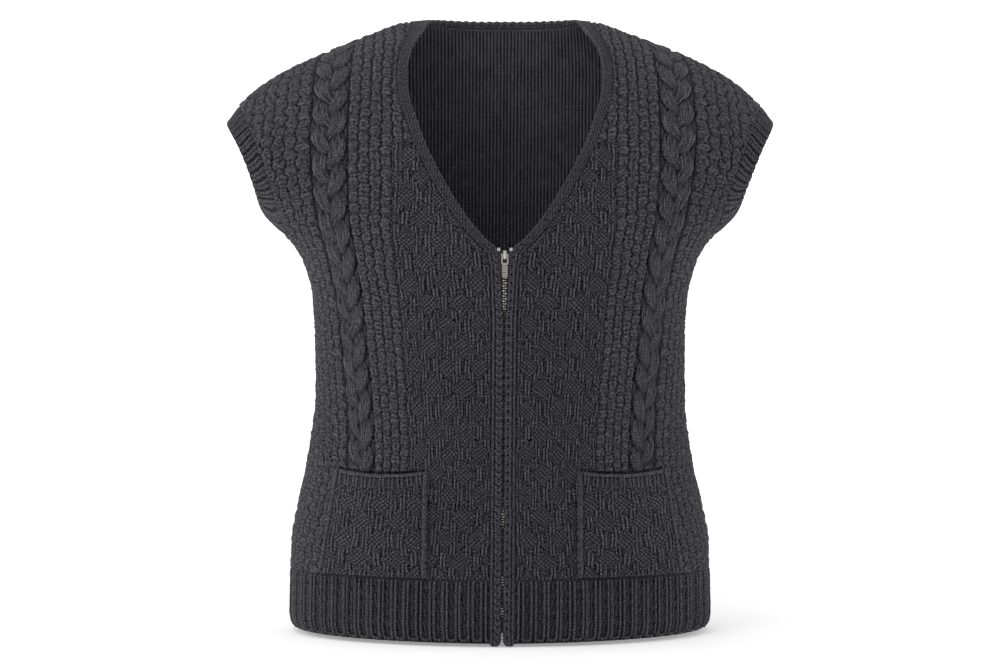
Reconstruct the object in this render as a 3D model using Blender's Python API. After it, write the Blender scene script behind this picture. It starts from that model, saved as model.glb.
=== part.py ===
"""Zip-up cardigan with grown-on cap sleeves, filled out with nobody in it.

Metres, +Z up, the front faces -Y, left and right are the wearer's (left is +X).
The origin is where the wearer's shoulders carry the garment, in the middle of the shoulder line.

The garment's outer skin is worked out from one table of level sections. Each section is an ellipse
with its own half width, its own depth in front and its own depth behind. Every cloth piece is a wall
on a stretch of that skin: a grid of points, and the same grid moved in by the wall's thickness.
"""

import math
from typing import NamedTuple

import bmesh
import bpy
import numpy as np
from mathutils import Matrix, Vector
from mathutils.geometry import tessellate_polygon

# Cloth
WALL = 0.003              # knitted wall of the panels
GAP = 0.0003              # left between neighbouring pieces
BAND_RISE = 0.0003        # how far bands and cuffs stand proud of the panels
POCKET_WALL = 0.0027

# Levels, measured from the shoulder line
HEM = -0.660
HEM_SEAM = -0.595
POCKET_BOTTOM = -0.5922
POCKET_TOP = -0.4820
POCKET_SAG = 0.004        # how far the mouth dips in its middle
NECK_TOP = 0.0055         # where the neck edge crosses the shoulder

# Pocket edges, from the centre of the front
POCKET_INNER = 0.0775
POCKET_OUTER_TOP = 0.1745
POCKET_OUTER_BOTTOM = 0.1930

# Widths across the front and the sleeves
TAPE_OUTER = 0.0130
TAPE_TOP = -0.2496
TAPE_BOTTOM = -0.6560
CHAIN_HALF = 0.0028
CUFF_EDGE = ((0.2983, -0.112), (0.2633, -0.199))    # front view of the cuff's free edge
CUFF_SEAM = ((0.2853, -0.088), (0.2340, -0.231))    # front view of the seam cuff to panel
CUFF_BOW = 0.0055                                   # how far both are hollowed in their middle

# The back of the neck rises over the wearer's nape
NAPE_RISE = 0.30
NAPE_ROUND = 0.020
NAPE_FADE = 0.150

# The front leans a little to the wearer's left of the middle, more at the neck than at the hem
LEAN_HEM = 0.002
LEAN_NECK = 0.007

# Zip, as depths measured outwards from the skin and heights below the shoulder line
CHAIN_FRONT = -0.0033
CHAIN_BACK = -0.0056
TAPE_BACK = -0.0040
CHAIN_TOP = -0.2620
CHAIN_BOTTOM = -0.6480
BOX_HALF = 0.0040
BOX_DEPTH = 0.0036
BOX_HEIGHT = 0.0092
BOX_ROUND = 0.0012
STOP_X = 0.0064               # from the middle to each top stop
STOP_HALF = 0.0016
STOP_TOP = -0.2498
STOP_BOTTOM = -0.2532
STOP_DEPTH = 0.0016
SLIDER_TOP = -0.2520
SLIDER_BOTTOM = -0.2655
SLIDER_HALF_TOP = 0.0039
SLIDER_HALF_BOTTOM = 0.0032
PLATE = 0.0009
BRIDGE_TOP = -0.2524
BRIDGE_BOTTOM = -0.2624
BRIDGE_HALF = 0.0016
BRIDGE_OUT = 0.0028
BRIDGE_THICK = 0.0010
PIVOT_LEVEL = -0.2565
PIVOT_DEPTH = 0.00095
PULL_THICK = 0.0010
PULL_LOOP_HALF = 0.0037
PULL_SLOT_HALF = 0.0022
PULL_LOOP_BOTTOM = -0.2670
PULL_BODY_HALF = 0.00295
PULL_BOTTOM = -0.2808


class Section(NamedTuple):
    level: float
    half_width: float
    front_depth: float
    back_depth: float


SECTIONS = (
    #       level  half_width  front   back
    Section(-0.660, 0.2310, 0.1470, 0.1220),
    Section(-0.595, 0.2296, 0.1470, 0.1205),
    Section(-0.560, 0.2275, 0.1450, 0.1175),
    Section(-0.522, 0.2200, 0.1410, 0.1110),
    Section(-0.483, 0.2120, 0.1375, 0.1040),
    Section(-0.447, 0.2060, 0.1345, 0.0980),
    Section(-0.411, 0.2019, 0.1330, 0.0940),
    Section(-0.345, 0.2012, 0.1380, 0.0940),
    Section(-0.318, 0.2025, 0.1430, 0.0965),
    Section(-0.295, 0.2050, 0.1470, 0.0985),
    Section(-0.275, 0.2098, 0.1495, 0.1005),
    Section(-0.258, 0.2155, 0.1502, 0.1020),
    Section(-0.243, 0.2238, 0.1500, 0.1030),
    Section(-0.231, 0.2340, 0.1495, 0.1040),
    Section(-0.221, 0.2457, 0.1485, 0.1045),
    Section(-0.210, 0.2563, 0.1470, 0.1050),
    Section(-0.199, 0.2645, 0.1450, 0.1050),
    Section(-0.185, 0.2795, 0.1420, 0.1050),
    Section(-0.168, 0.2995, 0.1380, 0.1050),
    Section(-0.150, 0.3115, 0.1330, 0.1040),
    Section(-0.130, 0.3135, 0.1270, 0.1025),
    Section(-0.111, 0.3015, 0.1210, 0.1000),
    Section(-0.099, 0.2930, 0.1160, 0.0980),
    Section(-0.088, 0.2845, 0.1115, 0.0960),
    Section(-0.072, 0.2670, 0.1030, 0.0925),
    Section(-0.055, 0.2430, 0.0920, 0.0870),
    Section(-0.038, 0.2100, 0.0785, 0.0805),
    Section(-0.024, 0.1757, 0.0650, 0.0730),
    Section(-0.011, 0.1427, 0.0470, 0.0640),
    Section(-0.002, 0.1225, 0.0330, 0.0540),
    Section(0.003, 0.1065, 0.0200, 0.0420),
    Section(0.0055, 0.0800, 0.0100, 0.0300),
)


class Station(NamedTuple):
    edge_x: float
    edge_level: float
    seam_x: float
    seam_level: float


FRONT_BAND = (
    #       edge_x  edge_level  seam_x  seam_level
    Station(0.0006, -0.6600, 0.0128, -0.6600),
    Station(0.0006, -0.5950, 0.0128, -0.5950),
    Station(0.0005, -0.3300, 0.0128, -0.3300),
    Station(0.0006, -0.3180, 0.0130, -0.3180),
    Station(0.0021, -0.3080, 0.0133, -0.3080),
    Station(0.0023, -0.2680, 0.0156, -0.2680),
    Station(0.0044, -0.2660, 0.0158, -0.2660),
    Station(0.0046, -0.2550, 0.0186, -0.2550),
    Station(0.0084, -0.2535, 0.0200, -0.2535),
    Station(0.0090, -0.2495, 0.0232, -0.2495),
    Station(0.0182, -0.2417, 0.0260, -0.2472),
    Station(0.0367, -0.2205, 0.0448, -0.2263),
    Station(0.0630, -0.1788, 0.0721, -0.1840),
    Station(0.0842, -0.1370, 0.0940, -0.1410),
    Station(0.0937, -0.1100, 0.1039, -0.1126),
    Station(0.1010, -0.0870, 0.1115, -0.0887),
    Station(0.1036, -0.0580, 0.1142, -0.0580),
    Station(0.0999, -0.0340, 0.1098, -0.0304),
    Station(0.0943, -0.0220, 0.1040, -0.0162),
    Station(0.0874, -0.0110, 0.1000, -0.0070),
    Station(0.0830, -0.0020, 0.0980, -0.0010),
    Station(0.0800, 0.0055, 0.1000, 0.0040),
)

NAPE_BAND = (
    #       edge_x  edge_level  seam_x  seam_level
    Station(0.0000, -0.0040, 0.0000, -0.0130),
    Station(0.0220, -0.0038, 0.0235, -0.0127),
    Station(0.0440, -0.0025, 0.0480, -0.0110),
    Station(0.0640, 0.0005, 0.0715, -0.0070),
    Station(0.0760, 0.0035, 0.0880, -0.0005),
    Station(0.0800, 0.0055, 0.1000, 0.0040),
)
NAPE_ROWS = 9                 # shared by the nape band and the top of the back
NAPE_LAST = 0.75              # how far along the last stretch of the nape seam the back still reaches
RIDGE_TOP = (-0.018, 0.0037)  # ends, on the shoulder seam, of the rows that fan out from the nape


# ---------------------------------------------------------------- curves and the skin

def smooth(knots, values, at):
    """Monotone cubic through the knots, read at the given places."""
    knots = np.asarray(knots, float)
    values = np.asarray(values, float)
    step = np.diff(knots)
    slope = np.diff(values) / step
    before, after = slope[:-1], slope[1:]
    same_way = before * after > 0.0
    weight_1 = 2.0 * step[1:] + step[:-1]
    weight_2 = step[1:] + 2.0 * step[:-1]
    safe_before = np.where(same_way, before, 1.0)
    safe_after = np.where(same_way, after, 1.0)
    mean = (weight_1 + weight_2) / (weight_1 / safe_before + weight_2 / safe_after)
    tangent = np.concatenate(([slope[0]], np.where(same_way, mean, 0.0), [slope[-1]]))
    at = np.clip(np.asarray(at, float), knots[0], knots[-1])
    cell = np.clip(np.searchsorted(knots, at) - 1, 0, len(step) - 1)
    t = (at - knots[cell]) / step[cell]
    return (
        (2 * t**3 - 3 * t**2 + 1) * values[cell]
        + (t**3 - 2 * t**2 + t) * step[cell] * tangent[cell]
        + (3 * t**2 - 2 * t**3) * values[cell + 1]
        + (t**3 - t**2) * step[cell] * tangent[cell + 1]
    )


def section(column, level):
    """One column of the section table at any level."""
    return smooth([s.level for s in SECTIONS], [getattr(s, column) for s in SECTIONS], level)


def skin(face, side, turn, level):
    """Points of the outer skin. face is -1 in front and 1 behind, side is 1 on the wearer's left,
    and turn runs from 0 at the centre to a quarter turn at the side or shoulder seam."""
    turn, level = np.broadcast_arrays(np.asarray(turn, float), np.asarray(level, float))
    half_width = section("half_width", level)
    depth = section("front_depth" if face < 0 else "back_depth", level)
    lean = LEAN_HEM + (LEAN_NECK - LEAN_HEM) * (level - HEM) / (NECK_TOP - HEM)
    x = side * half_width * np.sin(turn) + lean * np.cos(turn) ** 2
    y = face * (depth * np.cos(turn) + GAP / 2)
    behind = np.maximum(y, 0.0)
    fade = np.clip(1.0 + level / NAPE_FADE, 0.0, 1.0) ** 2
    z = level + NAPE_RISE * fade * behind**2 / (behind + NAPE_ROUND)
    return np.stack((x, y, z), axis=-1)


def skin_normal(face, side, turn, level):
    """Unit normals of the skin, pointing away from the wearer."""
    nudge = 1e-4
    turn = np.clip(np.asarray(turn, float), nudge, math.pi / 2 - nudge)
    level = np.clip(np.asarray(level, float), HEM + nudge, NECK_TOP - nudge)
    across = skin(face, side, turn + nudge, level) - skin(face, side, turn - nudge, level)
    upwards = skin(face, side, turn, level + nudge) - skin(face, side, turn, level - nudge)
    normal = np.cross(across, upwards) * (-face * side)
    return normal / np.linalg.norm(normal, axis=-1, keepdims=True)


def turn_at(x, level):
    """The turn at which the skin lies at half-distance x from the centre."""
    return np.arcsin(np.clip(np.asarray(x, float) / section("half_width", level), 0.0, 1.0))


def line_x(line, level, bow=0.0):
    """x of a sloping line, given by its top and bottom ends in the front view and hollowed by bow."""
    (top_x, top_level), (bottom_x, bottom_level) = line
    share = (level - bottom_level) / (top_level - bottom_level)
    hollow = 4.0 * bow * np.maximum(share * (1.0 - share), 0.0)
    return bottom_x + (top_x - bottom_x) * share - hollow


# ---------------------------------------------------------------- making solids

def material(name, color, roughness, metallic=0.0):
    """Principled material."""
    made = bpy.data.materials.new(name)
    made.use_nodes = True
    shader = made.node_tree.nodes["Principled BSDF"]
    shader.inputs["Base Color"].default_value = (*color, 1.0)
    shader.inputs["Roughness"].default_value = roughness
    shader.inputs["Metallic"].default_value = metallic
    made.diffuse_color = (*color, 1.0)
    return made


def knit_material(name):
    return material(name, (0.055, 0.053, 0.063), 0.9)


def metal_material(name):
    return material(name, (0.62, 0.59, 0.54), 0.32, 1.0)


def add_object(name, mesh_bm, surface):
    """New object from a bmesh, with outward faces and one material."""
    bmesh.ops.recalc_face_normals(mesh_bm, faces=mesh_bm.faces)
    mesh = bpy.data.meshes.new(name)
    mesh_bm.to_mesh(mesh)
    mesh_bm.free()
    mesh.materials.append(surface)
    made = bpy.data.objects.new(name, mesh)
    bpy.context.scene.collection.objects.link(made)
    return made


def wall(name, skin_points, normals, inner, outer, surface, ring=False):
    """Closed wall over a grid of skin points, between two depths measured outwards from the skin.
    A ring's rows join its last row to its first."""
    rows, columns = skin_points.shape[:2]
    mesh_bm = bmesh.new()
    layers = []
    for depth in (outer, inner):
        points = skin_points + normals * depth
        layers.append([[mesh_bm.verts.new(p) for p in row] for row in points])
    last_row = rows if ring else rows - 1
    for i in range(last_row):
        k = (i + 1) % rows
        for j in range(columns - 1):
            for layer in layers:
                mesh_bm.faces.new((layer[i][j], layer[i][j + 1], layer[k][j + 1], layer[k][j]))
        for j in (0, columns - 1):
            mesh_bm.faces.new((layers[0][i][j], layers[0][k][j], layers[1][k][j], layers[1][i][j]))
    if not ring:
        for i in (0, rows - 1):
            for j in range(columns - 1):
                top, under = layers[0][i], layers[1][i]
                mesh_bm.faces.new((top[j], top[j + 1], under[j + 1], under[j]))
    return add_object(name, mesh_bm, surface)


def skin_wall(name, face, side, turn, level, inner, outer, surface):
    """Wall over a grid of turns and levels on one side of one face."""
    points = skin(face, side, turn, level)
    return wall(name, points, skin_normal(face, side, turn, level), inner, outer, surface)


def plate(name, outline, low, high, surface):
    """Flat plate: an outline of x, z points, extruded along Y from low to high."""
    mesh_bm = bmesh.new()
    front = [mesh_bm.verts.new((x, low, z)) for x, z in outline]
    back = [mesh_bm.verts.new((x, high, z)) for x, z in outline]
    mesh_bm.faces.new(front)
    mesh_bm.faces.new(back[::-1])
    for i in range(len(outline)):
        k = (i + 1) % len(outline)
        mesh_bm.faces.new((front[i], back[i], back[k], front[k]))
    return add_object(name, mesh_bm, surface)


def block(name, low, high, surface):
    """Box between two corners."""
    outline = [(low[0], low[2]), (high[0], low[2]), (high[0], high[2]), (low[0], high[2])]
    return plate(name, outline, low[1], high[1], surface)


def rounded(half_top, half_bottom, top, bottom, radius, steps=3):
    """Outline of an upright plate, centred on x = 0, with rounded corners."""
    corners = (
        (half_top, top, 0.0), (-half_top, top, 0.5 * math.pi),
        (-half_bottom, bottom, math.pi), (half_bottom, bottom, 1.5 * math.pi),
    )
    outline = []
    for x, z, start in corners:
        centre_x = x - math.copysign(radius, x)
        centre_z = z - radius if z == top else z + radius
        for k in range(steps + 1):
            angle = start + 0.5 * math.pi * k / steps
            outline.append((centre_x + radius * math.cos(angle), centre_z + radius * math.sin(angle)))
    return outline


def join(base, other, operation):
    """Boolean of one object with another, which is then removed. It is worked in millimetres, as the
    solver is at its best near unit size."""
    for made in (base, other):
        made.data.transform(Matrix.Scale(1000.0, 4))
    modifier = base.modifiers.new("join", "BOOLEAN")
    modifier.operation = operation
    modifier.solver = "EXACT"
    modifier.object = other
    bpy.context.view_layer.update()
    evaluated = base.evaluated_get(bpy.context.evaluated_depsgraph_get())
    mesh = bpy.data.meshes.new_from_object(evaluated)
    mesh.transform(Matrix.Scale(0.001, 4))
    base.modifiers.remove(modifier)
    base.data = mesh
    bpy.data.objects.remove(other)
    return base


def move(made, x, y, z=0.0):
    """Shift an object's mesh."""
    made.data.transform(Matrix.Translation(Vector((x, y, z))))
    return made


# ---------------------------------------------------------------- the panels

SHOULDER_LEVELS = (0.0037,)                       # last row, close to the neck
CUFF_LEVELS = (-0.2285, -0.0935, -0.0900)         # where the cuff seams round over
ZIP_LEVELS = (-0.3080, -0.2680, -0.2660, -0.2550, -0.2535, -0.2495)
BACK_LEVELS = np.array(sorted([s.level for s in SECTIONS if HEM_SEAM <= s.level < 0.004]
                              + list(CUFF_LEVELS)))
PANEL_LEVELS = np.array(sorted([*BACK_LEVELS, *ZIP_LEVELS, *SHOULDER_LEVELS]))
COLUMNS_INNER, COLUMNS_POCKET, COLUMNS_OUTER = 2, 4, 5


def front_band(level):
    """Edge and seam of the front band, where its seam lies at the given levels."""
    table = np.array(FRONT_BAND)
    return [np.interp(level, table[:, 3], table[:, k]) for k in range(4)]


def nape_band():
    """Edge and seam of the band behind the neck, from the middle to the shoulder."""
    table = np.array(NAPE_BAND)
    place = np.arange(len(table))
    at = np.linspace(0, len(table) - 1, NAPE_ROWS)
    return [smooth(place, table[:, k], at) for k in range(4)]


def level_step(face, turn, level, distance):
    """Change of level that moves a point of the skin down by a distance."""
    nudge = 1e-4
    step = skin(face, 1, turn, level) - skin(face, 1, turn, level - nudge)
    return distance * nudge / np.linalg.norm(step, axis=-1)


def turn_step(face, turn, level, distance):
    """Change of turn that moves a point of the skin sideways by a distance."""
    nudge = 1e-4
    step = skin(face, 1, turn, level) - skin(face, 1, turn - nudge, level)
    return distance * nudge / np.linalg.norm(step, axis=-1)


def outer_turn(level):
    """Turn at which a panel ends at the side seam, the cuff or the shoulder seam."""
    cuff_x = line_x(CUFF_SEAM, level, CUFF_BOW)
    between = (level > CUFF_SEAM[1][1]) & (level < CUFF_SEAM[0][1])
    return np.where(between, turn_at(cuff_x, level), math.pi / 2)


def panel_turns(level):
    """Grid of turns of half a panel: its columns follow both edges of the pocket."""
    inner = turn_at(front_band(level)[2], level)
    inner = inner + turn_step(-1, inner, level, 1.3 * GAP)
    outer = outer_turn(level)
    outer = np.where(outer < math.pi / 2, outer - turn_step(-1, outer, level, GAP), outer)
    pocket_level = np.clip(level, POCKET_BOTTOM, POCKET_TOP)
    low_inner = turn_at(front_band(pocket_level)[2], pocket_level)
    span = math.pi / 2 - low_inner
    lower = (turn_at(POCKET_INNER, pocket_level) - low_inner) / span
    upper = (turn_at(pocket_outer(pocket_level), pocket_level) - low_inner) / span
    shares = np.concatenate((
        np.linspace(0.0, 1.0, COLUMNS_INNER, endpoint=False)[:, None] * lower,
        lower + np.linspace(0.0, 1.0, COLUMNS_POCKET, endpoint=False)[:, None] * (upper - lower),
        upper + np.linspace(0.0, 1.0, COLUMNS_OUTER + 1)[:, None] * (1.0 - upper),
    )).T
    return inner[:, None] + shares * (outer - inner)[:, None]


def pocket_outer(level):
    """Outer edge of the pocket, which spreads towards the hem."""
    return line_x(((POCKET_OUTER_TOP, POCKET_TOP), (POCKET_OUTER_BOTTOM, POCKET_BOTTOM)), level)


def make_fronts(surface):
    """Both front panels, from the hem seam to the shoulder seam."""
    level = PANEL_LEVELS.copy()
    level[0] += GAP / 2
    turn = panel_turns(level)
    rows = np.broadcast_to(level[:, None], turn.shape)
    for side, name in ((-1, "front_right"), (1, "front_left")):
        skin_wall(name, -1, side, turn, rows, -WALL, 0.0, surface)


def back_grid():
    """Turns and levels of the back's half. The rows above the shoulder blades fan out from the nape
    seam; returns also the number of the first of them."""
    low = BACK_LEVELS[BACK_LEVELS < RIDGE_TOP[0] - 0.001]
    low[0] += GAP / 2
    turn = panel_turns(low)
    turn[:, 0] = 0.0
    turn[:, 1] = 0.5 * turn[:, 2]
    share = (turn[-1] - turn[-1, 0]) / (turn[-1, -1] - turn[-1, 0])
    rows = np.repeat(low[:, None], len(share), axis=1)
    seam_x, seam_level = nape_band()[2:]
    seam_x = np.append(seam_x[:-1], seam_x[-2] + NAPE_LAST * (seam_x[-1] - seam_x[-2]))
    seam_level = np.append(seam_level[:-1], seam_level[-2] + NAPE_LAST * (seam_level[-1] - seam_level[-2]))
    seam_level = seam_level - level_step(1, turn_at(seam_x, seam_level), seam_level, 1.5 * GAP)
    seam = turn_at(seam_x, seam_level)
    ridge = np.linspace(*RIDGE_TOP, len(seam))
    fan_turn = seam[:, None] + (math.pi / 2 - seam)[:, None] * share
    fan_rows = seam_level[:, None] + (ridge - seam_level)[:, None] * share
    return np.vstack((turn, fan_turn)), np.vstack((rows, fan_rows)), len(low)


def make_back(surface):
    """The back panel in one piece, its top edge following the nape seam."""
    turn, rows, first_fan = back_grid()
    points = {side: skin(1, side, turn, rows) for side in (-1, 1)}
    normals = {side: skin_normal(1, side, turn, rows) for side in (-1, 1)}
    mesh_bm = bmesh.new()
    vertices = {}

    def vertex(side, i, j, layer):
        in_middle = j == 0 and i <= first_fan
        key = (0 if in_middle else side, i, j, layer)
        if key not in vertices:
            place = points[side][i, j] - normals[side][i, j] * WALL * layer
            vertices[key] = mesh_bm.verts.new(place)
        return vertices[key]

    last_i, last_j = turn.shape[0] - 1, turn.shape[1] - 1
    for side in (-1, 1):
        for i in range(last_i):
            for j in range(last_j):
                for layer in (0, 1):
                    corners = ((i, j), (i, j + 1), (i + 1, j + 1), (i + 1, j))
                    mesh_bm.faces.new([vertex(side, a, b, layer) for a, b in corners])
            for j in [last_j] if i < first_fan else [0, last_j]:
                mesh_bm.faces.new((vertex(side, i, j, 0), vertex(side, i + 1, j, 0),
                                   vertex(side, i + 1, j, 1), vertex(side, i, j, 1)))
        for i in (0, last_i):
            for j in range(last_j):
                mesh_bm.faces.new((vertex(side, i, j, 0), vertex(side, i, j + 1, 0),
                                   vertex(side, i, j + 1, 1), vertex(side, i, j, 1)))
    add_object("back", mesh_bm, surface)


def make_hem_ribs(surface):
    """The 2x2 rib below both fronts and the back."""
    levels = np.array([HEM, (HEM + HEM_SEAM) / 2, HEM_SEAM - GAP / 2])
    seam = panel_turns(PANEL_LEVELS[:1])
    turn = np.repeat(seam, len(levels), axis=0)
    rows = np.broadcast_to(levels[:, None], turn.shape)
    for side, name in ((-1, "hem_rib_front_right"), (1, "hem_rib_front_left")):
        skin_wall(name, -1, side, turn, rows, -WALL, 0.0, surface)
    turn[:, 0] = 0.0
    turn[:, 1] = 0.5 * turn[:, 2]
    points = [skin(1, side, turn, rows) for side in (-1, 1)]
    normals = [skin_normal(1, side, turn, rows) for side in (-1, 1)]
    whole = np.concatenate((points[0][:, :0:-1], points[1]), axis=1)
    whole_normals = np.concatenate((normals[0][:, :0:-1], normals[1]), axis=1)
    wall("hem_rib_back", whole, whole_normals, -WALL, 0.0, surface)


def make_pockets(surface):
    """Patch pockets, made from the front panels' own columns and moved out."""
    levels = np.array([POCKET_BOTTOM, -0.560, -0.522, POCKET_TOP])
    turn = panel_turns(levels)[:, COLUMNS_INNER:COLUMNS_INNER + COLUMNS_POCKET + 1]
    rows = np.repeat(levels[:, None], turn.shape[1], axis=1)
    rows[-1] -= POCKET_SAG * np.sin(np.linspace(0.0, math.pi, turn.shape[1]))
    for side, name in ((-1, "pocket_right"), (1, "pocket_left")):
        skin_wall(name, -1, side, turn, rows, GAP, GAP + POCKET_WALL, surface)


# ---------------------------------------------------------------- cuffs and bands

def cuff_ends(line):
    """Levels at which a cuff line meets the shoulder line and the underarm."""
    levels = np.linspace(-0.235, -0.080, 3101)
    inside = line_x(line, levels, CUFF_BOW) < section("half_width", levels)
    crossing = levels[np.flatnonzero(inside)]
    return crossing[-1], crossing[0]


def cuff_loop(side, line, levels):
    """A closed loop round the sleeve where the skin crosses a sloping plane: down the front, up the
    back. Its points come with their normals."""
    down = levels[::-1]
    points, normals = [], []
    for face, run in ((-1, down), (1, levels)):
        turn = turn_at(line_x(line, run, CUFF_BOW), run)
        points.append(skin(face, side, turn, run))
        normals.append(skin_normal(face, side, turn, run))
    return np.concatenate(points), np.concatenate(normals)


def make_cuffs(surface):
    """Rib cuffs, rings between the seam plane and the free edge."""
    share = np.linspace(0.0, 1.0, 3)
    seam_top, seam_bottom = cuff_ends(CUFF_SEAM)
    seam_levels = [v for v in BACK_LEVELS if seam_bottom + 0.001 < v < seam_top - 0.001]
    seam_levels = np.array([seam_bottom, *seam_levels, seam_top])
    place = (seam_levels - seam_bottom) / (seam_top - seam_bottom)
    for side, name in ((-1, "cuff_right"), (1, "cuff_left")):
        loops, loop_normals = [], []
        for t in share:
            line = tuple((a[0] + (b[0] - a[0]) * t, a[1] + (b[1] - a[1]) * t)
                         for a, b in zip(CUFF_SEAM, CUFF_EDGE))
            line = ((line[0][0] + GAP * (1 - t), line[0][1]), (line[1][0] + GAP * (1 - t), line[1][1]))
            top, bottom = cuff_ends(line)
            points, normals = cuff_loop(side, line, bottom + place * (top - bottom))
            loops.append(points)
            loop_normals.append(normals)
        wall(name, np.stack(loops, axis=1), np.stack(loop_normals, axis=1), -WALL, BAND_RISE, surface,
             ring=True)


BAND_SHARE = np.array([0.0, 0.5, 1.0])


def band_grid(edge_x, edge_level, seam_x, seam_level):
    """Turns and levels across a band, from its free edge to its seam."""
    edge, seam = turn_at(edge_x, edge_level), turn_at(seam_x, seam_level)
    turn = edge[:, None] + (seam - edge)[:, None] * BAND_SHARE
    rows = edge_level[:, None] + (seam_level - edge_level)[:, None] * BAND_SHARE
    return turn, rows


def make_front_bands(surface):
    """The band along the zip, round the foot of the V and up the neck to the shoulder."""
    levels = np.array([HEM, (HEM + HEM_SEAM) / 2, *PANEL_LEVELS, FRONT_BAND[-1].seam_level])
    turn, rows = band_grid(*front_band(levels))
    for side, name in ((-1, "band_right"), (1, "band_left")):
        skin_wall(name, -1, side, turn, rows, -WALL, BAND_RISE, surface)


def make_nape_band(surface):
    """The band round the back of the neck, between the shoulder seams."""
    turn, rows = band_grid(*nape_band())
    points = [skin(1, side, turn, rows) for side in (-1, 1)]
    normals = [skin_normal(1, side, turn, rows) for side in (-1, 1)]
    whole = np.concatenate((points[0][:0:-1], points[1]))
    whole_normals = np.concatenate((normals[0][:0:-1], normals[1]))
    wall("band_back_neck", whole, whole_normals, -WALL, BAND_RISE, surface)


# ---------------------------------------------------------------- the zip

def front_strip(name, left_x, right_x, levels, inner, outer, surface):
    """Strip of the front between two signed distances from the centre line."""
    x = np.stack((np.broadcast_to(left_x, levels.shape), np.broadcast_to(right_x, levels.shape)), axis=1)
    rows = np.repeat(levels[:, None], 2, axis=1)
    turn = np.sign(x) * turn_at(np.abs(x), rows)
    points = skin(-1, 1, turn, rows)
    normals = skin_normal(-1, 1, np.abs(turn), rows)
    wall(name, points, normals, inner, outer, surface)


def make_tapes(surface):
    """The zip's two tapes, behind the front bands; they draw back for the slider and for the box."""
    low = [s.level for s in SECTIONS if CHAIN_BOTTOM + 0.001 < s.level < -0.270]
    levels = np.array([TAPE_BOTTOM, CHAIN_BOTTOM + 0.0002, CHAIN_BOTTOM + 0.0008, *low,
                       -0.2680, -0.2670, TAPE_TOP])
    beside_chain = (levels > CHAIN_BOTTOM + 0.0005) & (levels < -0.2675)
    inner_x = np.where(beside_chain, CHAIN_HALF + GAP, BOX_HALF + 0.0004)
    front_strip("zip_tape_left", inner_x, TAPE_OUTER, levels, TAPE_BACK, CHAIN_FRONT, surface)
    front_strip("zip_tape_right", -TAPE_OUTER, -inner_x, levels, TAPE_BACK, CHAIN_FRONT, surface)


def zip_origin(level):
    """x and y of the skin at the centre line of the front."""
    point = skin(-1, 1, 0.0, level)
    return float(point[0]), float(point[1])


def make_chain(surface):
    """The closed chain as one strip, and the box that ends it at the hem."""
    levels = np.array([CHAIN_BOTTOM, *[s.level for s in SECTIONS if CHAIN_BOTTOM < s.level < -0.27],
                       CHAIN_TOP])
    front_strip("zip_chain", -CHAIN_HALF, CHAIN_HALF, levels, CHAIN_BACK, CHAIN_FRONT, surface)
    x, y = zip_origin(CHAIN_BOTTOM)
    outline = rounded(BOX_HALF, BOX_HALF, 0.0, -BOX_HEIGHT, BOX_ROUND)
    box = plate("zip_bottom_box", outline, 0.0, BOX_DEPTH, surface)
    move(box, x, y - CHAIN_FRONT, CHAIN_BOTTOM - GAP)


def make_stops(surface):
    """The two top stops, seated on the tapes where they part above the slider."""
    x, y = zip_origin((STOP_TOP + STOP_BOTTOM) / 2)
    for side, name in ((-1, "zip_stop_right"), (1, "zip_stop_left")):
        outline = rounded(STOP_HALF, STOP_HALF, STOP_TOP, STOP_BOTTOM, STOP_HALF / 2)
        stop = plate(name, outline, -STOP_DEPTH, 0.0, surface)
        move(stop, x + side * STOP_X, y - CHAIN_FRONT - GAP)


def make_slider(surface):
    """The slider: two plates, a wedge between them at the top and a bridge for the pull."""
    x, y = zip_origin((SLIDER_TOP + SLIDER_BOTTOM) / 2)
    outline = rounded(SLIDER_HALF_TOP, SLIDER_HALF_BOTTOM, SLIDER_TOP, SLIDER_BOTTOM, 0.0014)
    plate_front = -CHAIN_FRONT - 2 * GAP - PLATE
    plate_back = -CHAIN_BACK + GAP
    slider = plate("zip_slider", outline, plate_front, plate_front + PLATE, surface)
    join(slider, plate("back", outline, plate_back, plate_back + PLATE, surface), "UNION")
    wedge = [(0.0016, SLIDER_TOP - 0.0004), (-0.0016, SLIDER_TOP - 0.0004), (0.0, SLIDER_TOP - 0.0062)]
    join(slider, plate("wedge", wedge, plate_front + PLATE / 2, plate_back + PLATE / 2, surface), "UNION")
    bridge = make_bridge(plate_front, surface)
    join(slider, bridge, "UNION")
    move(slider, x, y)


def make_bridge(plate_front, surface):
    """An arch over the front plate, drawn in the plane of Y and Z and extruded sideways."""
    steps = 8
    middle = (BRIDGE_TOP + BRIDGE_BOTTOM) / 2
    half_height = (BRIDGE_TOP - BRIDGE_BOTTOM) / 2
    outer_rise = BRIDGE_OUT + plate_front
    root = plate_front + PLATE / 2
    outer_arc, inner_arc = [], []
    for k in range(steps + 1):
        angle = math.pi * k / steps
        bulge = math.sin(angle) ** 0.5
        outer_arc.append((plate_front - outer_rise * bulge, middle + half_height * math.cos(angle)))
        inner_arc.append((plate_front - (outer_rise - BRIDGE_THICK) * bulge,
                          middle + (half_height - 1.3 * BRIDGE_THICK) * math.cos(angle)))
    outline = [(root, outer_arc[0][1]), *outer_arc, (root, outer_arc[-1][1]),
               (root, inner_arc[-1][1]), *inner_arc[::-1], (root, inner_arc[0][1])]
    mesh_bm = bmesh.new()
    left = [mesh_bm.verts.new((-BRIDGE_HALF, y, z)) for y, z in outline]
    right = [mesh_bm.verts.new((BRIDGE_HALF, y, z)) for y, z in outline]
    mesh_bm.faces.new(left)
    mesh_bm.faces.new(right[::-1])
    for i in range(len(outline)):
        k = (i + 1) % len(outline)
        mesh_bm.faces.new((left[i], right[i], right[k], left[k]))
    return add_object("bridge", mesh_bm, surface)


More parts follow.
